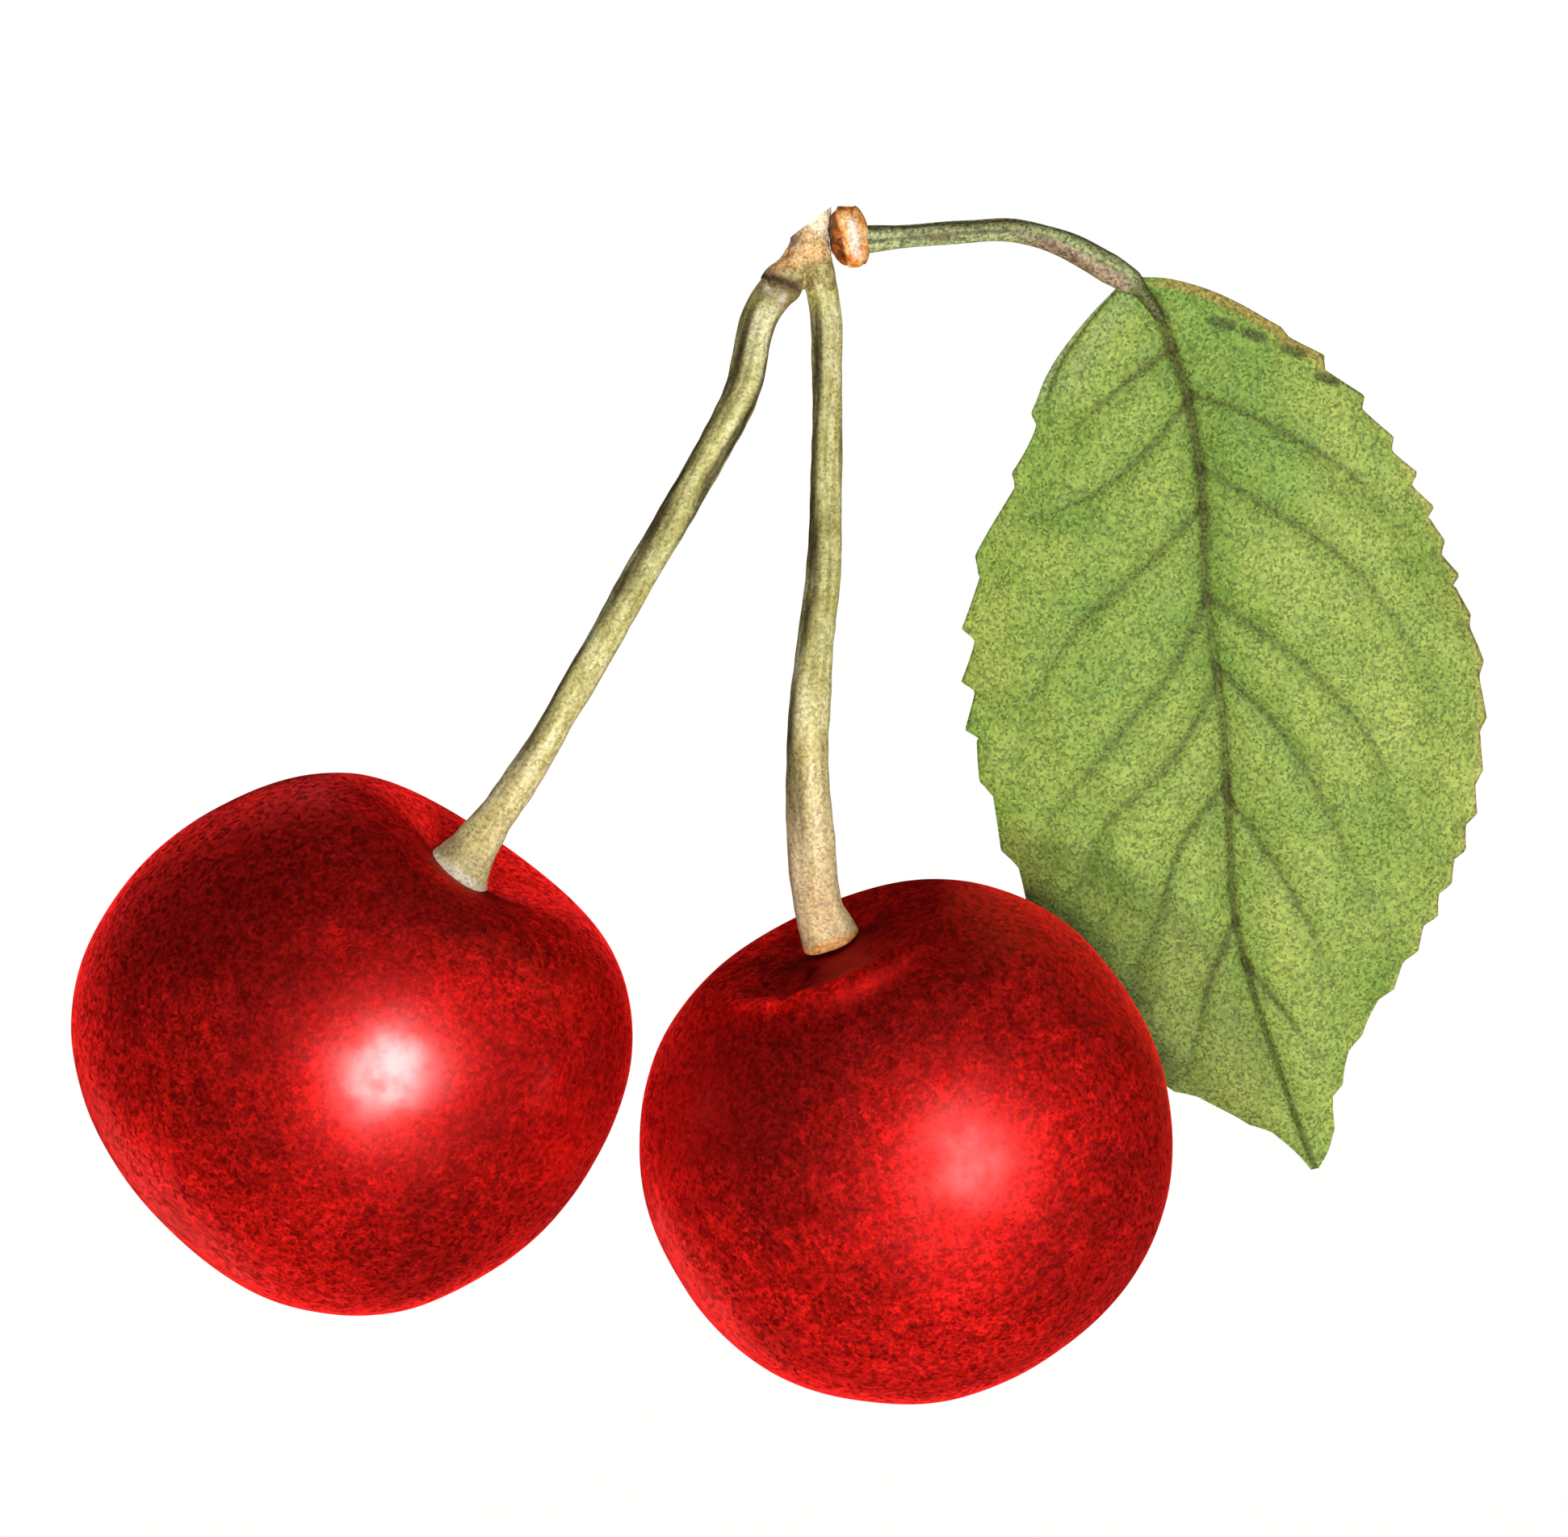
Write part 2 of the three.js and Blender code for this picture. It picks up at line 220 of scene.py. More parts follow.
def closed_rings(start, rings, end):
    """Points and faces of a body made of rings between two end points."""
    count, sides = rings.shape[:2]
    last = 1 + count * sides
    faces = [(0, 1 + (side + 1) % sides, 1 + side) for side in range(sides)]
    faces += ring_quads(count, sides, 1)
    faces += [(last, last - sides + side, last - sides + (side + 1) % sides) for side in range(sides)]
    return np.vstack([start, rings.reshape(-1, 3), end]), faces


def with_ends(start, rings, end):
    """A field's values at the points of closed_rings: at the start, on the rings and at the end."""
    return np.concatenate([[start], rings.ravel(), [end]])


def mesh_object(name, points, faces, skin, fields=None):
    """A smooth mesh in metres; fields are named numbers or places at its points, which its skin reads."""
    mesh = bpy.data.meshes.new(name)
    mesh.from_pydata((points * MM).tolist(), [], faces)
    mesh.shade_smooth()
    for field, values in (fields or {}).items():
        values = np.asarray(values, dtype=np.float32)
        if values.ndim == 1:
            mesh.attributes.new(field, "FLOAT", "POINT").data.foreach_set("value", values)
        else:
            mesh.attributes.new(field, "FLOAT_VECTOR", "POINT").data.foreach_set("vector", values.ravel())
    mesh.materials.append(skin)
    made = bpy.data.objects.new(name, mesh)
    bpy.context.scene.collection.objects.link(made)
    return made


def carried_frames(line):
    """Tangent, front and side directions along a line, carried along it without twist."""
    tangents = unit(np.gradient(line, axis=0))
    fronts = np.empty_like(tangents)
    front = FRONT
    for index, tangent in enumerate(tangents):
        front = unit(front - front.dot(tangent) * tangent)
        fronts[index] = front
    return tangents, fronts, np.cross(tangents, fronts)


END_TURNS = (60, 35, 15)  # degrees: the rings that round off each end of a rod
FIBRE_STRETCH = 0.12  # how far fibres are squeezed along a rod, which draws noise out along it


def rod(path, radii, steps, sides, section=None, bulges=(0.15, 0.15)):
    """Points, faces and fields of a solid rod along a path. section(share, angle) scales the radius, and
    angle 0 is the front. bulges are how far the two rounded ends stand out."""
    line = smooth_line(path, steps)
    tangents, fronts, sideways = carried_frames(line)
    share = np.linspace(0, 1, steps)
    radius = value_along(radii, share)
    angle = np.linspace(0, 2 * math.pi, sides, endpoint=False)

    turn = np.radians(END_TURNS)
    extra = len(turn)
    order = np.concatenate([[0] * extra, np.arange(steps), [steps - 1] * extra])
    scale = np.concatenate([np.cos(turn), np.ones(steps), np.cos(turn[::-1])])
    shift = np.concatenate([-np.sin(turn) * bulges[0], np.zeros(steps), np.sin(turn[::-1]) * bulges[1]])

    ring_share = share[order][:, None]
    shape = section(ring_share, angle[None, :]) if section else np.ones((1, sides))
    reach = (radius[order] * scale)[:, None] * shape
    rings = (
        (line[order] + tangents[order] * shift[:, None])[:, None, :]
        + reach[..., None] * (np.cos(angle)[None, :, None] * fronts[order][:, None, :]
                              + np.sin(angle)[None, :, None] * sideways[order][:, None, :])
    )
    start = line[0] - tangents[0] * bulges[0]
    end = line[-1] + tangents[-1] * bulges[1]
    points, faces = closed_rings(start, rings, end)
    along = with_ends(0, np.repeat(share[order], sides), 1)
    around = with_ends(0, np.tile(angle, len(order)), 0)
    length = np.linalg.norm(np.diff(line, axis=0), axis=1).sum()
    middle_radius = radius.mean()
    fibres = np.stack([
        np.cos(around) * middle_radius,
        np.sin(around) * middle_radius,
        along * length * FIBRE_STRETCH,
    ], axis=1)
    return points, faces, {"along": along, "around": around, "fibres": fibres}


# ---- materials ----

LIGHT_LEVEL = 1.4  # how much brighter than its own colour a surface facing the lights looks


def seen(red, green, blue):
    """The colour of a surface that looks like these screen values, 0 to 255, when it faces the lights."""
    def linear(value):
        value /= 255
        return value / 12.92 if value <= 0.04045 else ((value + 0.055) / 1.055) ** 2.4
    return tuple(linear(value) / LIGHT_LEVEL for value in (red, green, blue))


class Material:
    """A node material built from the object's own coordinates, with the sockets that the looks below need."""

    def __init__(self, name):
        self.data = bpy.data.materials.new(name)
        self.data.use_nodes = True
        self.tree = self.data.node_tree
        self.principled = self.tree.nodes["Principled BSDF"]
        self.coordinates = self.tree.nodes.new("ShaderNodeTexCoord").outputs["Object"]

    def node(self, kind, inputs=None, **settings):
        made = self.tree.nodes.new(kind)
        for key, value in settings.items():
            setattr(made, key, value)
        for key, value in (inputs or {}).items():
            self.feed(made.inputs[key], value)
        return made

    def feed(self, socket, value):
        if isinstance(value, bpy.types.NodeSocket):
            self.tree.links.new(value, socket)
        elif isinstance(value, tuple) and len(value) == 3 and socket.type == "RGBA":
            socket.default_value = (*value, 1)
        else:
            socket.default_value = value

    def set(self, **sockets):
        for key, value in sockets.items():
            self.feed(self.principled.inputs[key], value)

    def at_size(self, size):
        """What a texture needs for features about size millimetres across."""
        return {"Vector": self.coordinates, "Scale": 1 / (size * MM)}

    def noise(self, size, detail=2.0, roughness=0.5):
        inputs = {**self.at_size(size), "Detail": detail, "Roughness": roughness}
        return self.node("ShaderNodeTexNoise", inputs).outputs["Fac"]

    def speckle(self, size):
        """An even scatter of flecks, each of its own value from 0 to 1."""
        return self.node("ShaderNodeTexVoronoi", self.at_size(size)).outputs["Color"]

    def flecked(self, colour, size, strength):
        """A colour made lighter and darker by fine flecks."""
        stops = [(0.15, 1 - strength), (0.5, 1.0), (0.85, 1 + 0.8 * strength)]
        return self.mix(1.0, colour, self.ramp(self.speckle(size), stops), "MULTIPLY")

    def fibre_noise(self, size):
        """Noise drawn out along a rod, about size millimetres across."""
        vector = self.node("ShaderNodeAttribute", attribute_name="fibres").outputs["Vector"]
        inputs = {"Vector": vector, "Scale": 1 / size, "Detail": 3.0, "Roughness": 0.6}
        return self.node("ShaderNodeTexNoise", inputs).outputs["Fac"]

    def field(self, name, strength=None):
        """One of the mesh's own named numbers, times a strength if one is given."""
        value = self.node("ShaderNodeAttribute", attribute_name=name).outputs["Fac"]
        return self.maths("MULTIPLY", value, strength) if strength else value

    def ramp(self, value, stops):
        """A ramp through (place, colour or grey) stops."""
        made = self.node("ShaderNodeValToRGB", {"Fac": value})
        elements = made.color_ramp.elements
        while len(elements) < len(stops):
            elements.new(0.5)
        for element, (at, colour) in zip(elements, stops):
            element.position = at
            element.color = (*colour, 1) if isinstance(colour, tuple) else (colour, colour, colour, 1)
        return made.outputs["Color"]

    def tones(self, value, *stops):
        """A ramp through (place, red, green, blue) stops, in the screen values that seen() takes."""
        return self.ramp(value, [(at, seen(*colour)) for at, *colour in stops])

    def painted(self, share, below, *colour):
        """A colour, in screen values, laid over the one below by a socket's share or a field's."""
        share = self.field(share) if isinstance(share, str) else share
        return self.mix(share, below, seen(*colour))

    def mix(self, share, first, second, blend="MIX"):
        made = self.node("ShaderNodeMix", data_type="RGBA", blend_type=blend)
        self.feed(made.inputs[0], share)
        self.feed(made.inputs[6], first)
        self.feed(made.inputs[7], second)
        return made.outputs[2]

    def maths(self, operation, first, second=0.0, third=None):
        made = self.node("ShaderNodeMath", operation=operation)
        self.feed(made.inputs[0], first)
        self.feed(made.inputs[1], second)
        if third is not None:
            self.feed(made.inputs[2], third)
        return made.outputs[0]

    def spread(self, value, low, high, to_low=0.0, to_high=1.0):
        """A value's range stretched to another, and held at its ends."""
        inputs = {"Value": value, "From Min": low, "From Max": high}
        inputs |= {"To Min": to_low, "To Max": to_high}
        return self.node("ShaderNodeMapRange", inputs).outputs["Result"]

    def finished(self, colour, rough, *layers):
        """The material with its colour, a roughness that follows a texture from its smoothest to its
        roughest, and bump from (height socket, depth in millimetres) layers, one on another."""
        texture, smoothest, roughest = rough
        self.set(**{"Base Color": colour, "Roughness": self.spread(texture, 0.3, 0.7, smoothest, roughest)})
        normal = None
        for height, depth in layers:
            inputs = {"Height": height, "Strength": 1.0, "Distance": depth * MM}
            if normal:
                inputs["Normal"] = normal
            normal = self.node("ShaderNodeBump", inputs).outputs["Normal"]
        self.set(Normal=normal)
        return self.data


def cherry_skin():
    skin = Material("cherry_skin")
    blotch = skin.noise(6.0, detail=4, roughness=0.55)
    streak = skin.noise(0.9, detail=3, roughness=0.65)
    tone = skin.maths("MULTIPLY_ADD", streak, 0.4, skin.maths("MULTIPLY", blotch, 0.6))
    # Painted light and shade: lighter and darker patches and a darker side, added to the skin's tone.
    tone = skin.maths("ADD", tone, skin.field("painted_light_and_shade", 0.2))
    red = skin.tones(tone, (0.3, 104, 7, 4), (0.46, 146, 11, 6), (0.6, 192, 16, 9), (0.78, 244, 28, 22))
    red = skin.painted("scar", red, 84, 40, 28)
    # Painted shade: near black round the stalk's foot.
    red = skin.painted("pit", red, 36, 8, 6)
    red = skin.flecked(skin.flecked(red, 0.24, 0.5), 0.13, 0.5)
    ragged = skin.spread(skin.noise(1.6, detail=3, roughness=0.6), 0.36, 0.56, 0.4, 0.8)
    haze = skin.spread(skin.speckle(0.24), 0.15, 0.85, 0.25, 1.1)
    skin.set(**{
        "IOR": 2.35,
        "Specular IOR Level": 1.0,
        "Specular Tint": (1.0, 0.02, 0.018, 1),
        "Coat Weight": skin.maths("MULTIPLY", skin.field("shine"), ragged),
        "Coat Roughness": skin.spread(skin.field("shine"), 0.3, 1.0, 0.4, 0.24),
        "Coat IOR": 1.65,
        "Sheen Weight": skin.maths("MULTIPLY", skin.field("haze"), haze),
        "Sheen Roughness": 0.4,
        "Sheen Tint": (1.0, 0.02, 0.018, 1),
        "Subsurface Weight": 0.1,
        "Subsurface Radius": (1.0, 0.12, 0.08),
        "Subsurface Scale": 0.0015,
    })
    return skin.finished(red, (streak, 0.5, 0.6), (blotch, 0.03), (streak, 0.02), (skin.noise(0.25), 0.01))


def stalk_skin():
    skin = Material("stalk_skin")
    streak = skin.fibre_noise(0.5)
    cloud = skin.noise(1.6, detail=3)
    grain = skin.noise(0.25, detail=2, roughness=0.7)
    tone = skin.maths("MULTIPLY_ADD", streak, 0.6, skin.maths("MULTIPLY", cloud, 0.4))
    body = skin.tones(tone, (0.34, 160, 152, 82), (0.46, 190, 182, 108), (0.56, 216, 208, 144),
                      (0.68, 236, 226, 180))
    low = skin.tones(streak, (0.3, 196, 160, 110), (0.55, 224, 194, 142), (0.75, 240, 212, 170))
    colour = skin.mix(skin.field("foot"), body, low)
    # Painted shade: the edge field darkens the stalk's shaded sides.
    dark = skin.maths("MULTIPLY", skin.field("edge"), skin.spread(streak, 0.35, 0.7, 1.0, 0.6))
    colour = skin.painted(dark, colour, 62, 50, 24)
    colour = skin.painted("orange", colour, 226, 160, 92)
    colour = skin.painted("cream", colour, 240, 230, 198)
    colour = skin.painted("collar", colour, 110, 84, 50)
    colour = skin.painted("scar", colour, 216, 202, 178)
    colour = skin.flecked(colour, 0.13, 0.36)
    return skin.finished(colour, (grain, 0.52, 0.7), (streak, 0.06), (grain, 0.02))


def petiole_skin():
    skin = Material("petiole_skin")
    streak = skin.fibre_noise(0.5)
    grain = skin.noise(0.25, detail=2, roughness=0.7)
    body = skin.tones(streak, (0.3, 116, 112, 66), (0.45, 148, 152, 96), (0.6, 172, 180, 122),
                      (0.75, 194, 200, 148))
    colour = skin.painted("groove", body, 84, 76, 46)
    rosy = skin.tones(streak, (0.35, 120, 98, 72), (0.65, 164, 142, 112))
    colour = skin.mix(skin.field("under"), colour, rosy)
    colour = skin.painted("midrib", colour, 92, 96, 46)
    colour = skin.flecked(colour, 0.13, 0.6)
    return skin.finished(colour, (grain, 0.55, 0.72), (streak, 0.05), (grain, 0.02))


def spur_bark():
    bark = Material("spur_bark")
    patch = bark.noise(0.8, detail=4, roughness=0.65)
    grain = bark.noise(0.18, detail=3, roughness=0.7)
    tan = bark.tones(patch, (0.32, 176, 128, 76), (0.5, 222, 176, 116), (0.66, 242, 204, 150))
    colour = bark.painted("cream", tan, 250, 232, 196)
    olive = bark.tones(patch, (0.34, 132, 110, 60), (0.5, 168, 152, 90), (0.66, 194, 186, 124))
    colour = bark.mix(bark.field("olive"), colour, olive)
    colour = bark.painted("grey", colour, 134, 106, 84)
    dark = bark.tones(grain, (0.35, 44, 28, 12), (0.65, 96, 68, 36))
    colour = bark.mix(bark.field("dark"), colour, dark)
    colour = bark.flecked(colour, 0.12, 0.42)
    return bark.finished(colour, (grain, 0.66, 0.9), (patch, 0.14), (grain, 0.04))


def bud_scale():
    scale = Material("bud_scale")
    patch = scale.noise(0.6, detail=3, roughness=0.6)
    grain = scale.noise(0.15, detail=2, roughness=0.7)
    bright = scale.tones(patch, (0.34, 234, 118, 22), (0.5, 250, 164, 70), (0.66, 255, 208, 142))
    brown = scale.tones(patch, (0.36, 64, 28, 4), (0.5, 124, 58, 10), (0.64, 200, 100, 20))
    colour = scale.mix(scale.field("brown"), bright, brown)
    # Painted highlight: a near white streak down the bud's front.
    colour = scale.painted(scale.field("pale", 0.8), colour, 255, 242, 228)
    colour = scale.flecked(colour, 0.12, 0.35)
    return scale.finished(colour, (grain, 0.34, 0.5), (patch, 0.08), (grain, 0.02))


VEIN_CELLS = 900.0  # how many cells of the net of finest veins there are to a metre


def leaf_green():
    green = Material("leaf_green")
    mottle = green.noise(8.0, detail=3, roughness=0.6)
    cloud = green.noise(2.0, detail=3, roughness=0.6)
    shade = green.maths("MULTIPLY_ADD", mottle, 0.65, green.maths("MULTIPLY", cloud, 0.35))
    shade = green.maths("ADD", shade, green.field("lift"))
    upper = green.tones(shade, (0.34, 118, 149, 62), (0.46, 135, 158, 69), (0.56, 147, 165, 76),
                        (0.68, 160, 174, 84))
    lower = green.tones(shade, (0.36, 142, 156, 92), (0.52, 162, 172, 106), (0.66, 178, 184, 122))
    # Painted shade in the valleys along the veins.
    upper = green.painted(green.field("valley", 0.55), upper, 104, 132, 54)
    upper = green.painted("vein", upper, 78, 80, 36)
    upper = green.painted("turned", upper, 154, 168, 112)
    upper = green.painted("ochre", upper, 170, 148, 76)
    # Painted shade in the crease of the turned-up left margin, with the dark folded teeth on the right.
    upper = green.painted("crease_shade_and_dark_teeth", upper, 66, 72, 32)
    upper = green.painted(green.field("shade", 0.8), upper, 52, 68, 34)
    lower = green.painted(green.field("vein", 0.6), lower, 192, 190, 132)
    colour = green.mix(green.field("under"), upper, lower)
    colour = green.painted("rim", colour, 186, 176, 96)
    cells = {"Vector": green.coordinates, "Scale": VEIN_CELLS}
    walls = green.node("ShaderNodeTexVoronoi", cells, feature="DISTANCE_TO_EDGE").outputs["Distance"]
    net = green.spread(walls, 0.0, 0.09, 1.0, 0.0)
    colour = green.painted(green.maths("MULTIPLY", net, 0.08), colour, 96, 116, 50)
    colour = green.flecked(colour, 0.13, 0.48)
    green.set(**{"Specular IOR Level": 0.25})
    return green.finished(colour, (cloud, 0.58, 0.75), (net, 0.03), (cloud, 0.05), (green.noise(0.25), 0.015))


# ---- the fruit ----

FRUIT_RINGS = 210
FRUIT_SIDES = 320

LEFT_FRUIT = {
    "node": "cherry_left",
    "radius": 13.5,
    "bearing": 35,  # of the stalk's axis, clockwise from straight up
    "forward": 12,  # and its lean towards the front
    "lobes": [(1, 0.2, 26), (2, 0.16, 102), (3, 0.21, 54), (4, 0.2, 3)],  # how many, height, bearing
    "thinner": 0.8,  # how much it is pressed in from front to back
    "cavity": (3.3, 0.43),  # depth, and width in radians
    "lip": (0.05, 0.6, 0.13),  # height, distance from the axis and width, both in radians
    "fuller": (0.65, -116),  # how much its front swells towards one side, and which
    "dull_from": -0.2,  # where round the cavity its bloom stops: 1 at the front, -1 at the back
    "crease": {"at": -48, "reach": (0.5, 0.95), "width": 0.5, "depth": 0.35},  # degrees, radians, mm, mm
    # Painted light (+) and painted shade (-) patches, such as the glow round the highlight, the lit far wall
    # of the cavity and the shade at its near lip: radians from the axis, degrees round it, both sizes,
    # amount.
    "patches": [(0.2, 173, 0.42, 95, 2.2), (0.63, 8, 0.12, 42, -1.1), (1.1, 52, 0.4, 30, -0.8),
                (2.4, 0, 0.3, 90, 0.8), (1.95, 64, 0.4, 16, 1.0), (1.38, -11, 0.24, 16, 1.2)],
    "flower_end": 0.15,  # how far its blunt point stands out
    "shine": 1.0,  # how strong its gloss is
    "seed": 11,
}
RIGHT_FRUIT = {
    "node": "cherry_right",
    "radius": 13.1,
    "bearing": -22,
    "forward": 19,
    "lobes": [(2, 0.25, 57), (3, 0.06, 20), (4, 0.1, 20)],
    "thinner": 0.6,
    "cavity": (1.6, 0.36),
    "lip": (0.8, 0.5, 0.075),
    "fuller": (1.15, 74),
    "dull_from": -1.6,
    "crease": {"at": 32, "reach": (0.3, 0.75), "width": 0.55, "depth": 0.5},
    "patches": [(0.49, 32, 0.055, 40, 2.2), (0.3, -25, 0.16, 50, -1.6), (0.45, 140, 0.2, 30, 1.4),
                (0.6, -80, 0.3, 40, -0.7), (0.8, 52, 0.4, 22, -0.7), (1.6, 78, 0.6, 14, 1.2),
                (2.2, 40, 0.3, 60, 0.9), (1.38, -11, 0.32, 20, 1.8)],
    "flower_end": 0.35,
    "shine": 0.5,
    "seed": 23,
}
CAVITY_SHARPNESS = 2.4
PAINTED_SHADE_SIDE = (-0.5, -0.5, 0.7)  # the way in which painted shade darkens both fruits
LEAF_SIDE = (0.75, 0.35, 0.5)  # and the way in which their gloss fades, towards the leaf


def fruit_axis(fruit):
    """The direction of the stalk's axis out of the fruit."""
    bearing, forward = math.radians(fruit["bearing"]), math.radians(fruit["forward"])
    upright = math.cos(forward)
    return np.array([upright * math.sin(bearing), -math.sin(forward), upright * math.cos(bearing)])


def fruit_centre(fruit):
    low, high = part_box(fruit["node"])
    return (np.array(low) + np.array(high)) / 2 / MM


def skin_radius(fruit, direction, from_axis, round_axis):
    """How far the skin is from the centre. round_axis is 0 at the front and grows towards the left."""
    bearing = np.arctan2(direction[..., 0], direction[..., 2])
    spread = np.hypot(direction[..., 0], direction[..., 2])
    radius = fruit["radius"] - fruit["thinner"] * direction[..., 1] ** 2
    for order, amount, lobe_bearing in fruit["lobes"]:
        radius = radius + amount * spread**order * np.cos(order * (bearing - math.radians(lobe_bearing)))
    amount, fuller_bearing = fruit["fuller"]
    towards_front = np.minimum(direction[..., 1], 0)
    radius = radius + amount * spread * towards_front**2 * np.cos(bearing - math.radians(fuller_bearing))

    depth, width = fruit["cavity"]
    radius = radius - depth * np.exp(-((from_axis / width) ** CAVITY_SHARPNESS))
    height, lip_at, lip_width = fruit["lip"]
    facing = (0.5 + 0.5 * np.cos(round_axis)) ** 2
    radius = radius + height * facing * bell(from_axis, lip_at, lip_width)

    crease = fruit["crease"]
    turn = wrapped(round_axis - math.radians(crease["at"]))
    aside = fruit["radius"] * np.sin(from_axis) * turn
    begins, ends = crease["reach"]
    inside = ease(from_axis, begins * 0.5, begins) * (1 - ease(from_axis, begins, ends))
    radius = radius - crease["depth"] * inside * bell(aside, 0, crease["width"])

    radius = radius + fruit["flower_end"] * bell(from_axis, math.pi, 0.2)
    radius = radius - 0.3 * bell(from_axis, math.pi, 0.045)
    return radius


def fruit(name, shape, skin):
    """One cherry: rings round its stalk's axis, with fields for its colour, gloss and sheen. Its colour
    fields carry painted light and shade.
    """
    axis = fruit_axis(shape)
    front = unit(FRONT - FRONT.dot(axis) * axis)
    left = np.cross(-axis, front)
    from_axis = np.linspace(0, math.pi, FRUIT_RINGS + 2)[1:-1, None]
    round_axis = np.linspace(0, 2 * math.pi, FRUIT_SIDES, endpoint=False)[None, :]
    direction = (
        np.cos(from_axis)[..., None] * axis
        + (np.sin(from_axis) * np.cos(round_axis))[..., None] * front
        + (np.sin(from_axis) * np.sin(round_axis))[..., None] * left
    )
    radius = skin_radius(shape, direction, from_axis, round_axis)
    surface = direction * radius[..., None]
    body = ease(from_axis, 0.35, 0.8)[..., None]
    swell = 0.05 * ripple(surface, 9.0, shape["seed"]) + 0.008 * ripple(surface, 3.2, shape["seed"] + 1)
    surface = surface + direction * swell[..., None] * body

    ends = []
    for way, angle in ((axis, 0.0), (-axis, math.pi)):
        reach = skin_radius(shape, way[None, :], np.array([angle]), np.array([0.0]))[0]
        ends.append(way * reach)
    centre = fruit_centre(shape)
    points, faces = closed_rings(centre + ends[0], surface + centre, centre + ends[1])

    # Painted shade towards one side, then the painted light and shade patches.
    painted_light_and_shade = -0.7 * ease(direction @ unit(np.array(PAINTED_SHADE_SIDE)), 0.35, 0.95)
    for distance, bearing, reach, turn, amount in shape["patches"]:
        aside = np.degrees(wrapped(round_axis - math.radians(bearing)))
        painted_light_and_shade = painted_light_and_shade + amount * bell(from_axis, distance, reach) * bell(aside, 0, turn)
    scar = bell(from_axis, math.pi, 0.035) * np.ones_like(round_axis)
    away_from_leaf = 1 - ease(direction @ unit(np.array(LEAF_SIDE)), 0.3, 0.7)
    shine = shape["shine"] * ease(from_axis, 0.5, 0.9) * away_from_leaf
    dull = ease(np.cos(round_axis), shape["dull_from"], shape["dull_from"] + 0.5)
    haze = 1 - 0.92 * dull * (1 - ease(from_axis, 0.42, 0.8))
    # Painted shade round the stalk's foot, on the front of the cavity.
    pit = 0.95 * (1 - ease(from_axis, 0.16, 0.38)) * ease(np.cos(round_axis), -0.4, 0.3)
    fields = {
        "painted_light_and_shade": with_ends(0.5, painted_light_and_shade, 0),
        "scar": with_ends(0, scar, 1),
        "shine": with_ends(0, shine, 0),
        "haze": with_ends(0, haze, 1),
        "pit": with_ends(0, pit, 0),
    }
    return mesh_object(name, points, faces, skin, fields)


def cavity_floor(shape, lift):
    """The point over the middle of the cavity's floor where a stalk stands."""
    axis = fruit_axis(shape)
    floor = skin_radius(shape, axis[None, :], np.array([0.0]), np.array([0.0]))[0]
    return fruit_centre(shape) + axis * (floor + lift)


# ---- stalks ----

# The spur's two legs, which the stalks carry on from.
LEFT_LEG = [(0.3, 0, 1.6), (-0.15, 0, -0.9), (-0.8, 0, -2.2), (-1.6, 0, -3.3)]
RIGHT_LEG = [(0.3, 0, 1.6), (0.12, 0, -0.9), (0.42, 0, -2.2), (0.62, 0, -3.3)]
LEFT_STALK = {
    "path": [(-3.4, -0.5, -8.5), (-6.0, -1.4, -13.3), (-8.7, -2.4, -18.1), (-11.4, -3.1, -22.9),
             (-14.3, -3.0, -27.7)],
    "radii": [(0, 0.95), (0.04, 0.93), (0.1, 0.9), (0.4, 0.84), (0.75, 0.8), (0.9, 0.92), (0.95, 1.15),
              (0.98, 1.45), (1, 1.85)],  # at shares of its length
    "foot_shift": (-0.6, 0, 0.05),  # from the middle of the cavity
    "tan": 0.35,  # how brown it turns towards the fruit
    "foot_edge": "cream",  # the colour of the line along the rim of its foot, here a painted highlight
    "edge_from": (0.983, 0.993),  # and the shares of its length between which that colour comes in
    # Painted shade: dark bands down its shaded sides. Degrees round it, width, amount and how far down they
    # reach.
    "shaded": [(60, 34, 1.0, 1.2), (-70, 22, 1.0, 0.4), (6, 7, 0.3, 0.6)],
    "collar": 0.8,  # how dark the scar at its top is
    "seed": 31,
}
RIGHT_STALK = {
    "path": [(0.9, -0.5, -7.3), (0.84, -1.7, -12.1), (0.7, -3.1, -16.9), (0.2, -4.4, -21.7),
             (-0.1, -5.2, -26.5), (0.05, -5.1, -30.1)],
    "radii": [(0, 0.8), (0.06, 0.76), (0.3, 0.76), (0.45, 0.86), (0.7, 1.02), (0.85, 1.17), (0.95, 1.22),
              (1, 1.4)],
    "foot_shift": (0.2, 0, 0.2),
    "tan": 1.0,
    "foot_edge": "orange",
    "edge_from": (0.99, 1.0),
    "shaded": [(58, 34, 1.0, 1.2), (-86, 14, 0.7, 0.3), (-12, 7, 0.25, 0.6)],
    "collar": 0.0,
    "seed": 37,
}
STALK_STEPS = 220
STALK_SIDES = 48
INTO_LEG = 0.3  # how far a stalk starts inside its leg
OUT_OF_LEG = 1.0  # and how far it runs straight on from there
OVER_FLOOR = (1.5, 0.12)  # the last two points of a stalk, over the floor of its cavity


def stalk_section(seed):
    """Shallow ridges along the stalk and slow swellings, a little out of round."""
    def scale(share, angle):
        lengthwise = round_a_rod(share, angle, 34)
        ridges = 0.022 * np.cos(5 * angle + 2.5 * share) + 0.014 * np.cos(3 * angle - 4 * share)
        return 1 + ridges + 0.035 * ripple(lengthwise, 5.0, seed) + 0.015 * ripple(lengthwise, 1.4, seed + 1)
    return scale


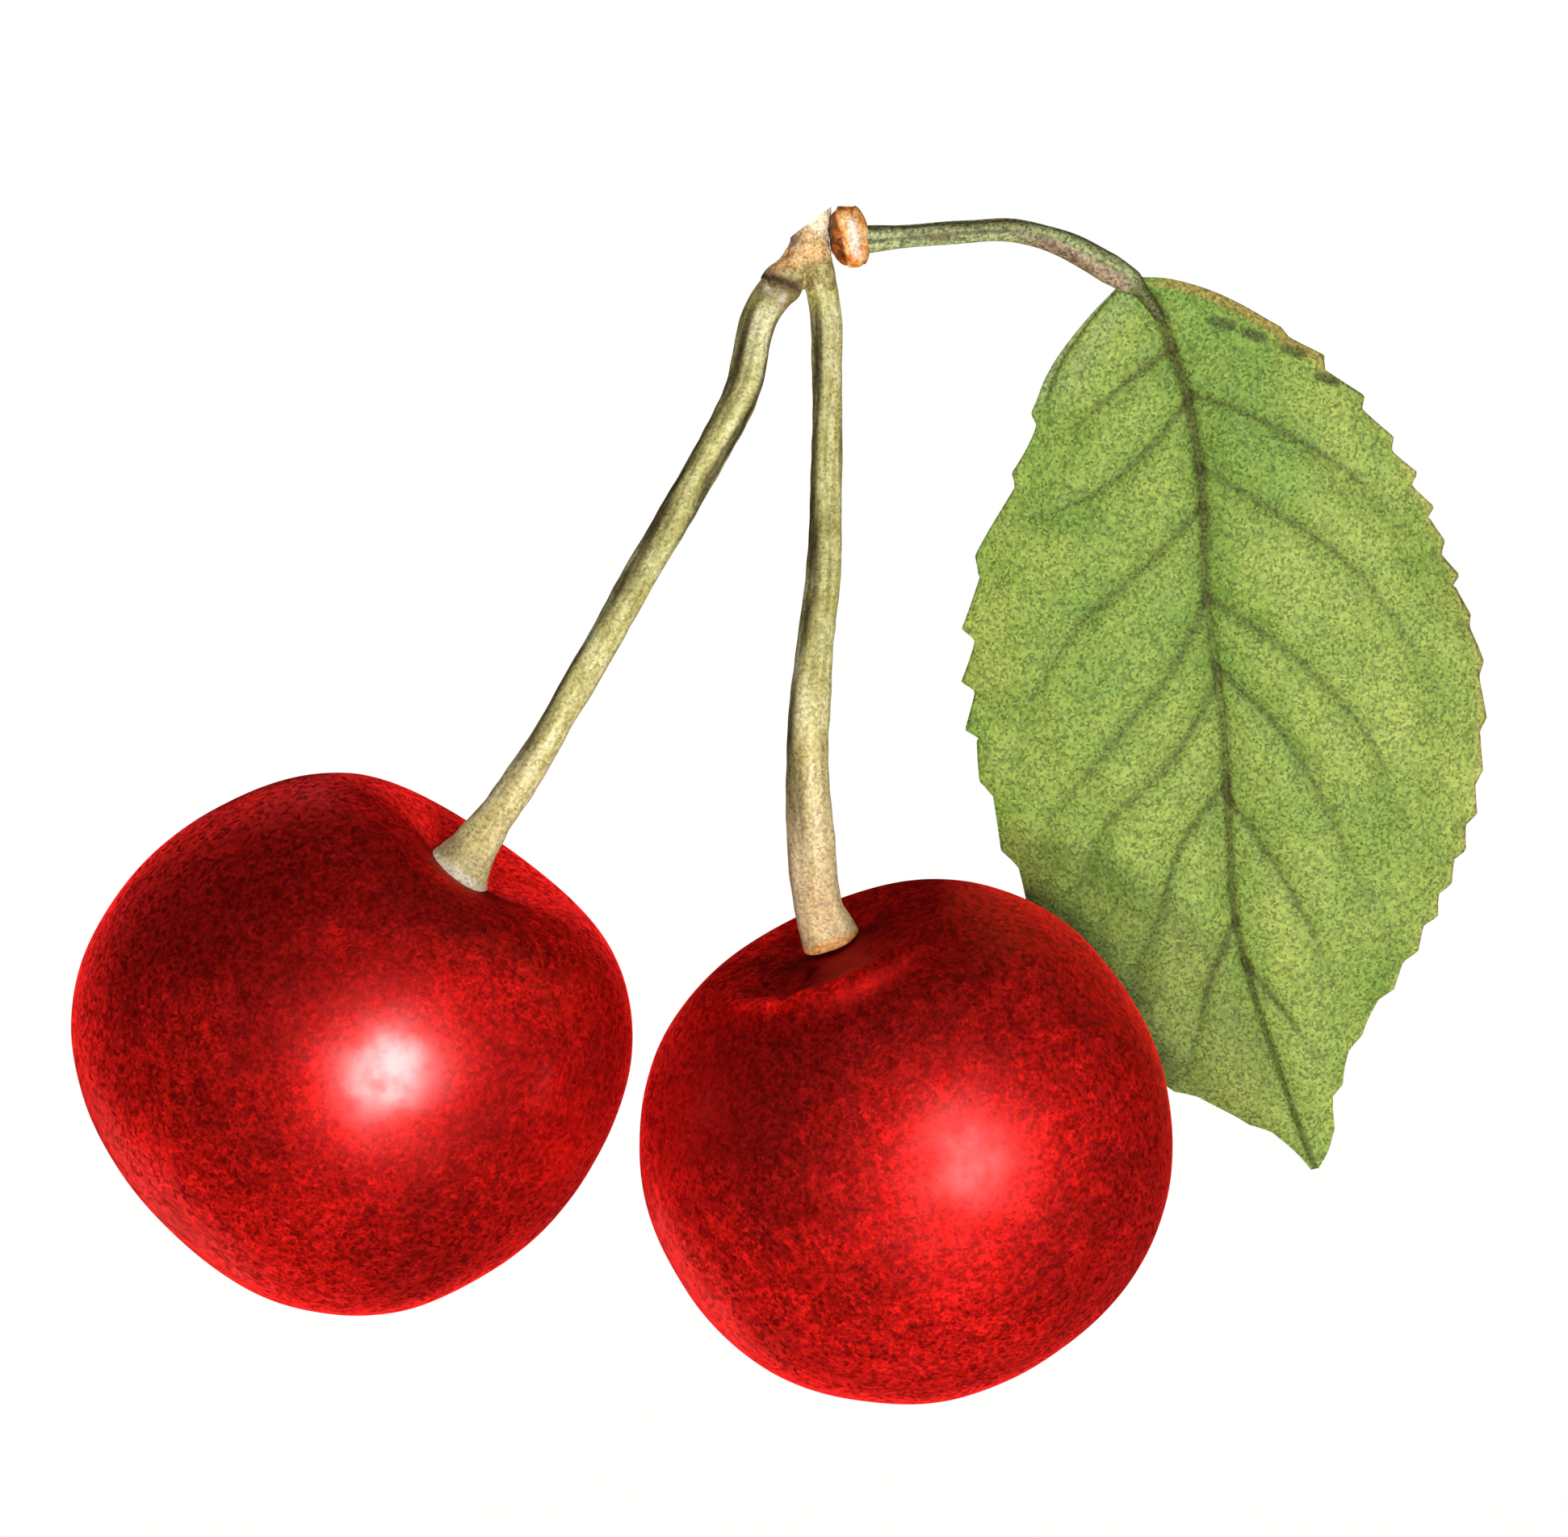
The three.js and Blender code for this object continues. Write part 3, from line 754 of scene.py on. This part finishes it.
def stalk(name, leg, shape, fruit_shape, skin):
    """A fruit's stalk, from inside its leg of the spur to just over the floor of the fruit's cavity."""
    leg_end = np.array(leg[-1], dtype=float)
    leg_way = unit(leg_end - np.array(leg[-2]))
    foot = [cavity_floor(fruit_shape, lift) + shape["foot_shift"] for lift in OVER_FLOOR]
    path = [leg_end - leg_way * INTO_LEG, leg_end + leg_way * OUT_OF_LEG, *shape["path"], *foot]
    section = stalk_section(shape["seed"])
    points, faces, fields = rod(path, shape["radii"], STALK_STEPS, STALK_SIDES, section, bulges=(0.1, 0.06))
    along = fields["along"]
    angle = np.degrees(wrapped(fields["around"] + 0.25 * np.sin(along * 17)))
    # Painted shade down the stalk's sides, which the edge field carries.
    bands = sum(strength * bell(angle, at, width) * (1 - ease(along, reach - 0.15, reach + 0.1))
                for at, width, strength, reach in shape["shaded"])
    starts = ease(along, 0.0, 0.07)
    fields = {
        "fibres": fields["fibres"],
        "foot": shape["tan"] * ease(along, 0.55, 0.95),
        "edge": np.clip(1.5 * bands, 0, 1) * starts * (1 - 0.55 * ease(along, 0.7, 0.95)),
        # The line along the rim of the foot. The left stalk's cream line is a painted highlight.
        shape["foot_edge"]: ease(along + 0.01 * np.cos(fields["around"]), *shape["edge_from"]),
        "scar": shape["collar"] * bell(along, 0.014, 0.008) * (bell(angle, 28, 16) + bell(angle, -30, 13)),
        "collar": shape["collar"] * (1 - ease(along, 0.0, 0.06)),
    }
    return mesh_object(name, points, faces, skin, fields)


# ---- the spur and its bud ----

CUT_NORMAL = np.array(frame["record"]["mounts"][0]["axis"])
BUD_MIDDLE = np.array([1.92, 0.0, -0.66])
BUD_HALF = np.array([0.98, 1.15, 1.48])
BUD_SQUARENESS = 2.7  # 2 would be an ellipsoid
SPUR_MIDDLE = np.array([-0.1, 0, -1.6])
SPUR_VOXEL = 0.07
LEG_STEPS = 60
LEG_SIDES = 40
# The left leg swells into a collar, and the right one narrows.
LEG_RADII = (
    [(0, 0.9), (0.45, 0.82), (0.72, 0.78), (0.84, 1.0), (0.93, 1.1), (1, 0.98)],
    [(0, 0.9), (0.5, 0.86), (0.8, 0.8), (1, 0.78)],
)


def fused(shells, voxel):
    """Overlapping closed shells as one skin of small quads, a little smoothed."""
    points = np.vstack([shell[0] for shell in shells])
    faces = []
    offset = 0
    for shell_points, shell_faces, _ in shells:
        faces += [tuple(offset + index for index in face) for face in shell_faces]
        offset += len(shell_points)
    mesh = bpy.data.meshes.new("fused")
    mesh.from_pydata(points.tolist(), [], faces)
    worker = bpy.data.objects.new("fused", mesh)
    bpy.context.scene.collection.objects.link(worker)
    remesh = worker.modifiers.new("fuse", "REMESH")
    remesh.mode = "VOXEL"
    remesh.voxel_size = voxel
    soften = worker.modifiers.new("soften", "SMOOTH")
    soften.iterations = 6
    result = worker.evaluated_get(bpy.context.evaluated_depsgraph_get()).to_mesh()
    fused_points = np.array([vertex.co[:] for vertex in result.vertices])
    fused_faces = [tuple(polygon.vertices) for polygon in result.polygons]
    bpy.data.objects.remove(worker)
    bpy.data.meshes.remove(mesh)
    return fused_points, fused_faces


def sliced(points, faces, normal):
    """What is left of a closed mesh below the plane through the origin, closed by a flat face."""
    mesh = bpy.data.meshes.new("sliced")
    mesh.from_pydata(points.tolist(), [], faces)
    work = bmesh.new()
    work.from_mesh(mesh)
    everything = work.verts[:] + work.edges[:] + work.faces[:]
    plane = {"plane_co": (0, 0, 0), "plane_no": normal.tolist()}
    bmesh.ops.bisect_plane(work, geom=everything, clear_outer=True, **plane)
    rim = [edge for edge in work.edges if edge.is_boundary]
    bmesh.ops.contextual_create(work, geom=rim)
    work.verts.index_update()
    kept = np.array([vertex.co[:] for vertex in work.verts])
    kept_faces = [tuple(vertex.index for vertex in face.verts) for face in work.faces]
    work.free()
    bpy.data.meshes.remove(mesh)
    return kept, kept_faces


def spur(skin):
    """The short shoot: two legs fused into a fork, roughened, and cut off flat where it left its twig."""
    legs = [rod(path, radii, LEG_STEPS, LEG_SIDES) for path, radii in zip((LEFT_LEG, RIGHT_LEG), LEG_RADII)]
    points, faces = fused(legs, SPUR_VOXEL)
    rough = 0.05 * ripple(points, 1.1, 41) + 0.03 * ripple(points, 0.5, 42)
    points = points + unit(points - SPUR_MIDDLE) * rough[:, None]
    points, faces = sliced(points, faces, CUT_NORMAL)
    on_cut = bell(points @ CUT_NORMAL, 0, 0.05)

    x, _, z = points.T
    collar_line = (x + 1.4) * 0.34 + (z + 2.92)
    fields = {
        "cream": ease(z + 0.5 * x, -0.75, 0.15),
        "olive": ease(-z + 0.35 * x, 1.7, 2.4),
        "grey": bell(x + 0.75, 0, 0.42) * bell(z + 0.85, 0, 0.42),
        "dark": bell(collar_line, 0, 0.4) * ease(-x, 0.2, 0.7) + 0.6 * on_cut * ease(-x, 0.2, 0.5),
    }
    made = mesh_object("spur", points, faces, skin, fields)
    made.data.set_sharp_from_angle(angle=math.radians(40))
    return made


def bud(skin):
    """A squat bead of overlapping scales: flat where it sits on the spur, domed towards the leaf's stalk."""
    rings, sides = 90, 120
    tilt = np.linspace(0, math.pi, rings + 2)[1:-1, None]
    turn = np.linspace(0, 2 * math.pi, sides, endpoint=False)[None, :]
    ahead = -np.cos(tilt) + 0 * turn
    up = np.sin(tilt) * np.sin(turn)
    back = np.sin(tilt) * np.cos(turn)
    powers = [np.abs(way) ** BUD_SQUARENESS for way in (ahead, up, back)]
    size = sum(powers) ** (-1 / BUD_SQUARENESS)
    scale_edge = ahead + 0.25 * up + 0.12 * np.sin(3 * turn)
    overlap = 0.09 * ease(scale_edge, -0.28, -0.2) + 0.05 * ease(scale_edge, 0.5, 0.56)
    size = size * (0.93 + overlap)
    rings_at = np.stack([ahead * size, back * size, up * size], axis=-1) * BUD_HALF
    rings_at = rings_at + unit(rings_at) * (0.035 * ripple(rings_at, 0.9, 51))[..., None]
    rings_at[..., 0] -= 0.1 * rings_at[..., 2]
    start = BUD_MIDDLE - (0.93 * BUD_HALF[0], 0, 0)
    end = BUD_MIDDLE + (1.05 * BUD_HALF[0], 0, 0)
    points, faces = closed_rings(start, rings_at + BUD_MIDDLE, end)
    brown = 1 - ease(ahead + 0.2 * up, -0.42, -0.2)
    brown = np.maximum(brown, bell(up, 0.95, 0.2) * bell(ahead, -0.3, 0.4))
    brown = np.maximum(brown, 0.6 * bell(scale_edge, 0.53, 0.06))
    # Painted highlight: a pale streak down the front of the bud.
    pale = bell(ahead + 0.12 * up, 0.24, 0.22) * (1 - ease(np.abs(up + 0.05), 0.4, 0.75))
    pale = pale * ease(-back, 0.1, 0.5)
    fields = {"brown": with_ends(1, brown, 0), "pale": with_ends(0, pale, 0)}
    return mesh_object("bud", points, faces, skin, fields)


# ---- the leaf ----

PETIOLE = {
    "path": [(4.6, 0.05, -0.62), (7.8, 0.3, -0.36), (10.2, 0.7, -0.28), (12.6, 1.2, -0.9), (14.4, 1.6, -1.8)],
    "radii": [(0, 0.7), (0.1, 0.6), (0.35, 0.56), (0.55, 0.62), (0.78, 0.82), (0.86, 0.68), (0.9, 0.4),
              (1, 0.22)],
}
LEAF_BASE = np.array([16.0, 1.9, -2.6])
LEAF_BEARING = 11.9  # degrees that the tip swings away from straight down
# The midrib and both margins as [along, across] points from the straight line between base and tip.
LEAF = {
    "midrib": [(0, 0), (1.4, 0.9), (3.6, 1.3), (6.7, 1.6), (10.8, 1.4), (15.9, 0.6), (22.8, 0.1),
               (27.6, -0.6), (32.5, -1.2), (35.5, -1.1), (40.6, -0.5), (45.8, 0.3)],
    "left": [(0, -0.3), (1.6, -2.6), (4.2, -5.3), (7.1, -6.7), (12.9, -10.6), (16.4, -11.6), (21.5, -12.3),
             (26.1, -11.8), (30.1, -11.2), (34.3, -10.2), (37.9, -8.3), (40.7, -5.3), (43.0, -2.1),
             (45.0, -0.3), (45.8, 0.1)],
    "right": [(0, 0.3), (0.4, 1.8), (1.1, 3.3), (3.4, 6.3), (6.4, 8.9), (10.0, 10.9), (13.6, 12.2),
              (17.9, 13.0), (22.0, 13.4), (25.7, 12.9), (29.3, 11.8), (32.6, 9.9), (36.5, 6.8),
              (39.4, 3.9), (42.4, 2.0), (44.8, 1.3), (45.8, 0.5)],
}
# Side veins as [along, across] points from the midrib outwards.
SIDE_VEINS = [
    [(3.8, 1.4), (4.6, -0.5), (6.1, -3.2), (7.5, -6.1)],
    [(6.5, 1.6), (8.4, -0.7), (10.1, -4.1), (10.6, -6.4), (10.4, -9.0)],
    [(11.8, 1.2), (14.0, -1.9), (16.6, -6.3), (20.4, -9.5), (23.4, -11.2)],
    [(16.3, 0.5), (18.8, -1.3), (22.8, -5.9), (26.4, -9.9), (29.4, -11.1)],
    [(20.6, 0.2), (24.0, -2.9), (26.7, -6.9), (29.6, -8.8), (32.5, -10.0)],
    [(25.6, -0.3), (28.0, -3.0), (31.3, -4.9), (34.5, -7.0), (36.8, -8.4)],
    [(32.5, -1.2), (34.7, -2.8), (38.1, -4.4), (40.2, -5.4)],
    [(6.2, 1.7), (7.3, 3.6), (9.6, 6.6), (12.4, 9.4), (15.2, 11.0)],
    [(9.9, 1.5), (12.6, 4.5), (16.4, 8.0), (21.2, 10.3), (25.0, 11.6)],
    [(16.3, 0.6), (19.8, 4.0), (24.2, 6.8), (28.9, 8.0), (32.4, 8.8)],
    [(19.8, 0.3), (23.4, 2.7), (27.8, 4.3), (32.1, 5.3), (35.6, 6.2)],
    [(26.2, -0.4), (30.8, 1.5), (35.2, 2.8), (38.6, 3.4)],
    [(34.6, -1.2), (37.6, 0.3), (40.4, 1.5)],
]
LEAF_ROWS = 330
LEAF_HALF_COLUMNS = 72
# Teeth down each margin: how many, how deep and the seed of their unevenness.
TEETH = {"left": (17, 0.55, 61), "right": (25, 0.5, 62)}
FOLDED_TEETH = [(3.95, 3.1), (5.4, 4.0), (7.2, 5.2), (8.6, 6.9)]  # across and along
BLADE_THICKNESS = 0.24
HANG_BACK = 0.06  # the slope and the curve that carry the tip away from the front
HANG_CURVE = 0.0031
CROWN = 0.9  # how far each half of the blade bulges forward
DROOP = 1.3  # and how far its margin falls back
MIDRIB_WIDTH = 0.34
SIDE_VEIN_WIDTH = 0.2


def leaf_outline(points, count):
    """A smooth line through [along, across] points, as (across, along) points."""
    return smooth_line(points, count)[:, ::-1]


def tooth_profile(share, count, depth, seed):
    """Uneven saw teeth that point towards the tip."""
    rng = np.random.default_rng(seed)
    heights = rng.uniform(0.45, 1.25, count + 2)
    shifted = share * count + 0.3 * np.sin(share * 19 + seed)
    number = np.clip(np.floor(shifted).astype(int), 0, count + 1)
    phase = shifted - np.floor(shifted)
    lean = 0.76
    climb = np.where(phase < lean, phase / lean, (1 - phase) / (1 - lean))
    grown = ease(share, 0.12, 0.17) * (1 - ease(share, 0.94, 0.995))
    return depth * grown * heights[number] * (climb**1.25 - 0.45)


def nearest(points, line):
    """Distance from each point to a line, and the share along the line of the nearest place."""
    gaps = np.linalg.norm(points[:, None, :] - line[None, :, :], axis=-1)
    index = gaps.argmin(axis=1)
    return gaps[np.arange(len(points)), index], index / (len(line) - 1)


def leaf_plan():
    """The flat blade: rows of (across, along) points from the left margin to the right one, with their
    share of the half blade, and each row's share of the length."""
    share = np.linspace(0, 1, LEAF_ROWS)
    centre = leaf_outline(LEAF["midrib"], LEAF_ROWS)
    spacing = np.linspace(0, 1, LEAF_HALF_COLUMNS + 1) ** 1.15
    halves = []
    for side, teeth in TEETH.items():
        edge = leaf_outline(LEAF[side], LEAF_ROWS)
        reach = edge - centre
        outward = unit(reach + 1e-9)
        tooth = tooth_profile(share, *teeth)[:, None] * spacing[None, :] ** 12
        halves.append(centre[:, None, :] + reach[:, None, :] * spacing[None, :, None]
                      + outward[:, None, :] * tooth[..., None])
    plan = np.concatenate([halves[0][:, :0:-1], halves[1]], axis=1)
    across_share = np.concatenate([-spacing[:0:-1], spacing])
    return plan, across_share, share


def leaf_veins(plan):
    """How strongly each point lies on the midrib, on a side vein, and in the valleys along them."""
    flat = plan.reshape(-1, 2)
    gap, at = nearest(flat, leaf_outline(LEAF["midrib"], 160))
    midrib = bell(gap, 0, MIDRIB_WIDTH * (1 - 0.55 * at))
    side = np.zeros(len(flat))
    valley = 0.8 * bell(gap, 0, 1.1)
    for vein in SIDE_VEINS:
        gap, at = nearest(flat, leaf_outline(vein, 60))
        line = bell(gap, 0, SIDE_VEIN_WIDTH * (1 - 0.4 * at))
        side = np.maximum(side, line * (1 - 0.8 * ease(at, 0.4, 1.0)))
        valley = np.maximum(valley, bell(gap, 0, 0.75) * (1 - 0.6 * at))
    shape = plan.shape[:2]
    return midrib.reshape(shape), side.reshape(shape), valley.reshape(shape)


def blade_depth(along, across_share, share):
    """How far back the blade's middle surface hangs, before its veins and puckers."""
    hang = HANG_BACK * along + HANG_CURVE * along**2
    fullness = np.sin(math.pi * share)
    aside = np.abs(across_share)
    crown = CROWN * fullness * 4 * aside * (1 - aside)
    return hang - crown + DROOP * fullness * aside**2


def from_margin(plan, across_share):
    """How far each point is from the margin on its own side, in millimetres."""
    middle = plan[:, LEAF_HALF_COLUMNS, :][:, None, :]
    edges = np.where(across_share[..., None] < 0, plan[:, :1, :], plan[:, -1:, :])
    return np.linalg.norm(edges - middle, axis=-1) * (1 - np.abs(across_share))


def left_fold(plan, across_share, along):
    """The crease inside the turned-up left margin near the base, coloured as painted shade, and the paler
    strips on both sides of it.
    """
    inside = from_margin(plan, across_share)
    crease_inset = 0.15 + 0.08 * along
    near_base = (across_share < 0) * (1 - ease(along, 4.2, 6.2))
    crease = bell(inside, crease_inset, 0.13) * near_base
    turned = (1 - ease(inside, crease_inset - 0.15, crease_inset)) * near_base
    return crease, np.maximum(turned, 0.7 * bell(inside, crease_inset + 0.9, 0.7) * near_base)


def right_fold(plan, across_share, along):
    """The dark folded teeth along the right margin near the base, and the ochre strip outside them."""
    inside = from_margin(plan, across_share)
    near_base = (across_share > 0) * ease(along, 0.2, 0.8) * (1 - ease(along, 5, 8))
    strip = (1 - ease(inside, 0.35, 0.75)) * near_base
    flat = plan.reshape(-1, 2)
    teeth = np.zeros(len(flat))
    for tooth_across, tooth_along in FOLDED_TEETH:
        middle = np.array([tooth_across, tooth_along])
        gap, _ = nearest(flat, np.linspace(middle - (0.4, 0.2), middle + (0.4, 0.2), 7))
        teeth = np.maximum(teeth, 1 - ease(gap, 0.12, 0.4))
    return teeth.reshape(along.shape), strip


def beside_fruit(points):
    """How near each point lies behind the edge of the right-hand fruit, where the leaf is in its shade."""
    centre = fruit_centre(RIGHT_FRUIT)
    out = np.hypot(points[..., 0] - centre[0], points[..., 2] - centre[2]) - RIGHT_FRUIT["radius"]
    return (1 - ease(out + 0.25 * ripple(points, 3.0, 91), -0.4, 2.4)) ** 1.3


def leaf_blade(skin):
    """The blade: two facing grids a little apart, with veins and puckers, swung into place."""
    plan, across_share, share = leaf_plan()
    share = share[:, None]
    across_share = across_share[None, :]
    midrib, side, valley = leaf_veins(plan)
    across, along = plan[..., 0], plan[..., 1]
    flat = np.stack([across, along, 0 * across], axis=-1)
    edge_fade = 1 - ease(np.abs(across_share), 0.75, 1.0)

    fullness = np.sin(math.pi * share)
    near_edge = ease(np.abs(across_share), 0.7, 1.0)
    depth = blade_depth(along, across_share, share)
    depth = depth + 0.32 * valley * edge_fade * fullness ** 0.5
    depth = depth + 0.12 * ripple(flat, 7.0, 71) + 0.05 * ripple(flat, 2.6, 72)
    depth = depth + 0.35 * ripple(flat, 9.0, 73) * near_edge * fullness

    middle = np.stack([across, depth, -along], axis=-1)
    normal = unit(np.cross(np.gradient(middle, axis=0), np.gradient(middle, axis=1)))
    normal = normal * np.sign(normal[..., 1:2])
    thickness = BLADE_THICKNESS * (1 - 0.55 * np.abs(across_share) ** 4)
    # The veins are grooves in the front and ridges on the back.
    upper = middle - normal * (thickness / 2 - 0.1 * side - 0.16 * midrib)[..., None]
    lower = middle + normal * (thickness / 2 + 0.16 * side + 0.5 * midrib * (1 - 0.6 * share))[..., None]

    rows, columns = across.shape
    points = np.concatenate([upper.reshape(-1, 3), lower.reshape(-1, 3)])
    turn = math.radians(LEAF_BEARING)
    x, y, z = points.T
    swung_x = x * math.cos(turn) - z * math.sin(turn)
    swung_z = x * math.sin(turn) + z * math.cos(turn)
    points = np.stack([swung_x, y, swung_z], axis=1) + LEAF_BASE

    vein = np.clip(midrib * (0.95 - 0.35 * bell(share, 0.42, 0.1)) + side * 0.75, 0, 1)
    crease, turned = left_fold(plan, across_share, along)
    folded_teeth, strip = right_fold(plan, across_share, along)
    at_right_margin = ease(np.abs(across_share), 0.965, 0.995) * ease(across_share, -0.5, 0.5)
    layers = {
        "vein": vein,
        # The valley field also colours the blade with painted shade.
        "valley": valley * edge_fade,
        "rim": 0.7 * at_right_margin * ease(share, 0.2, 0.3),
        "crease_shade_and_dark_teeth": np.maximum(0.8 * crease, 0.75 * folded_teeth),
        "turned": 0.6 * turned,
        "lift": 0.14 * (share - 0.4) - 0.14 * bell(across, 4.5, 3.4) * bell(along, 7.5, 5.0),
        "ochre": 0.85 * strip,
        "shade": beside_fruit(points[:rows * columns].reshape(rows, columns, 3)),
    }
    fields = {key: np.concatenate([value.ravel(), value.ravel()]) for key, value in layers.items()}
    fields["under"] = np.repeat([0.0, 1.0], rows * columns)
    return mesh_object("leaf_blade", points, sheet_faces(rows, columns), skin, fields)


def sheet_faces(rows, columns):
    """Faces of two facing grids, front then back, joined round their outline."""
    count = rows * columns
    index = np.arange(count).reshape(rows, columns)
    corners = [index[:-1, :-1], index[1:, :-1], index[1:, 1:], index[:-1, 1:]]
    front = np.stack(corners, axis=-1).reshape(-1, 4)
    back = front[:, [0, 3, 2, 1]] + count
    rim = np.concatenate([index[0, :], index[1:, -1], index[-1, -2::-1], index[-2:0:-1, 0]])
    after = np.roll(rim, -1)
    walls = np.stack([rim, after, after + count, rim + count], axis=-1)
    return np.concatenate([front, back, walls]).tolist()


def petiole(skin):
    """The leaf's own stalk, from inside the bud to a thin end that carries on behind the midrib."""
    bud_side = BUD_MIDDLE + np.array([BUD_HALF[0] * 0.8, 0, -0.12])
    into_blade = [LEAF_BASE + np.array([0.5, 0.0, -0.6]), LEAF_BASE + np.array([1.5, 0.0, -2.0])]
    path = [bud_side, *PETIOLE["path"], *into_blade]

    def section(share, angle):
        top = bell(wrapped(angle - math.radians(-60)), 0, 0.5)
        groove = 0.16 * top * ease(share, 0.03, 0.2)
        return 1 - groove + 0.03 * ripple(round_a_rod(share, angle, 14), 3.0, 81)

    points, faces, fields = rod(path, PETIOLE["radii"], 160, 48, section)
    along = fields["along"]
    angle = np.degrees(wrapped(fields["around"]))
    near_leaf = ease(along, 0.42, 0.56)
    bands_by_bud = bell(angle, -58, 28) + 0.85 * bell(angle, 12, 9) + 0.5 * bell(angle, 88, 14)
    bands_by_leaf = 0.8 * bell(angle, -72, 18) + 0.7 * bell(angle, 4, 7)
    underside = ease(angle, 6, 16) * (1 - ease(angle, 130, 160))
    fields = {
        "fibres": fields["fibres"],
        "groove": (1 - near_leaf) * bands_by_bud + near_leaf * bands_by_leaf,
        "under": underside * near_leaf * (1 - ease(along, 0.84, 0.88)),
        "midrib": ease(along, 0.84, 0.9),
    }
    return mesh_object("petiole", points, faces, skin, fields)


# ---- the object ----

def hand_over(piece, node):
    """Let a finished piece stand for its CAD node."""
    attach(piece, "root")
    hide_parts(node)


camera()
stage()
lights()

cherry_look = cherry_skin()
stalk_look = stalk_skin()
hand_over(fruit("fruit_left", LEFT_FRUIT, cherry_look), "cherry_left")
hand_over(fruit("fruit_right", RIGHT_FRUIT, cherry_look), "cherry_right")
hand_over(stalk("long_stalk_left", LEFT_LEG, LEFT_STALK, LEFT_FRUIT, stalk_look), "stalk_left")
hand_over(stalk("long_stalk_right", RIGHT_LEG, RIGHT_STALK, RIGHT_FRUIT, stalk_look), "stalk_right")
hand_over(spur(spur_bark()), "spur")
hand_over(bud(bud_scale()), "bud")
hand_over(petiole(petiole_skin()), "petiole")
hand_over(leaf_blade(leaf_green()), "leaf_blade")
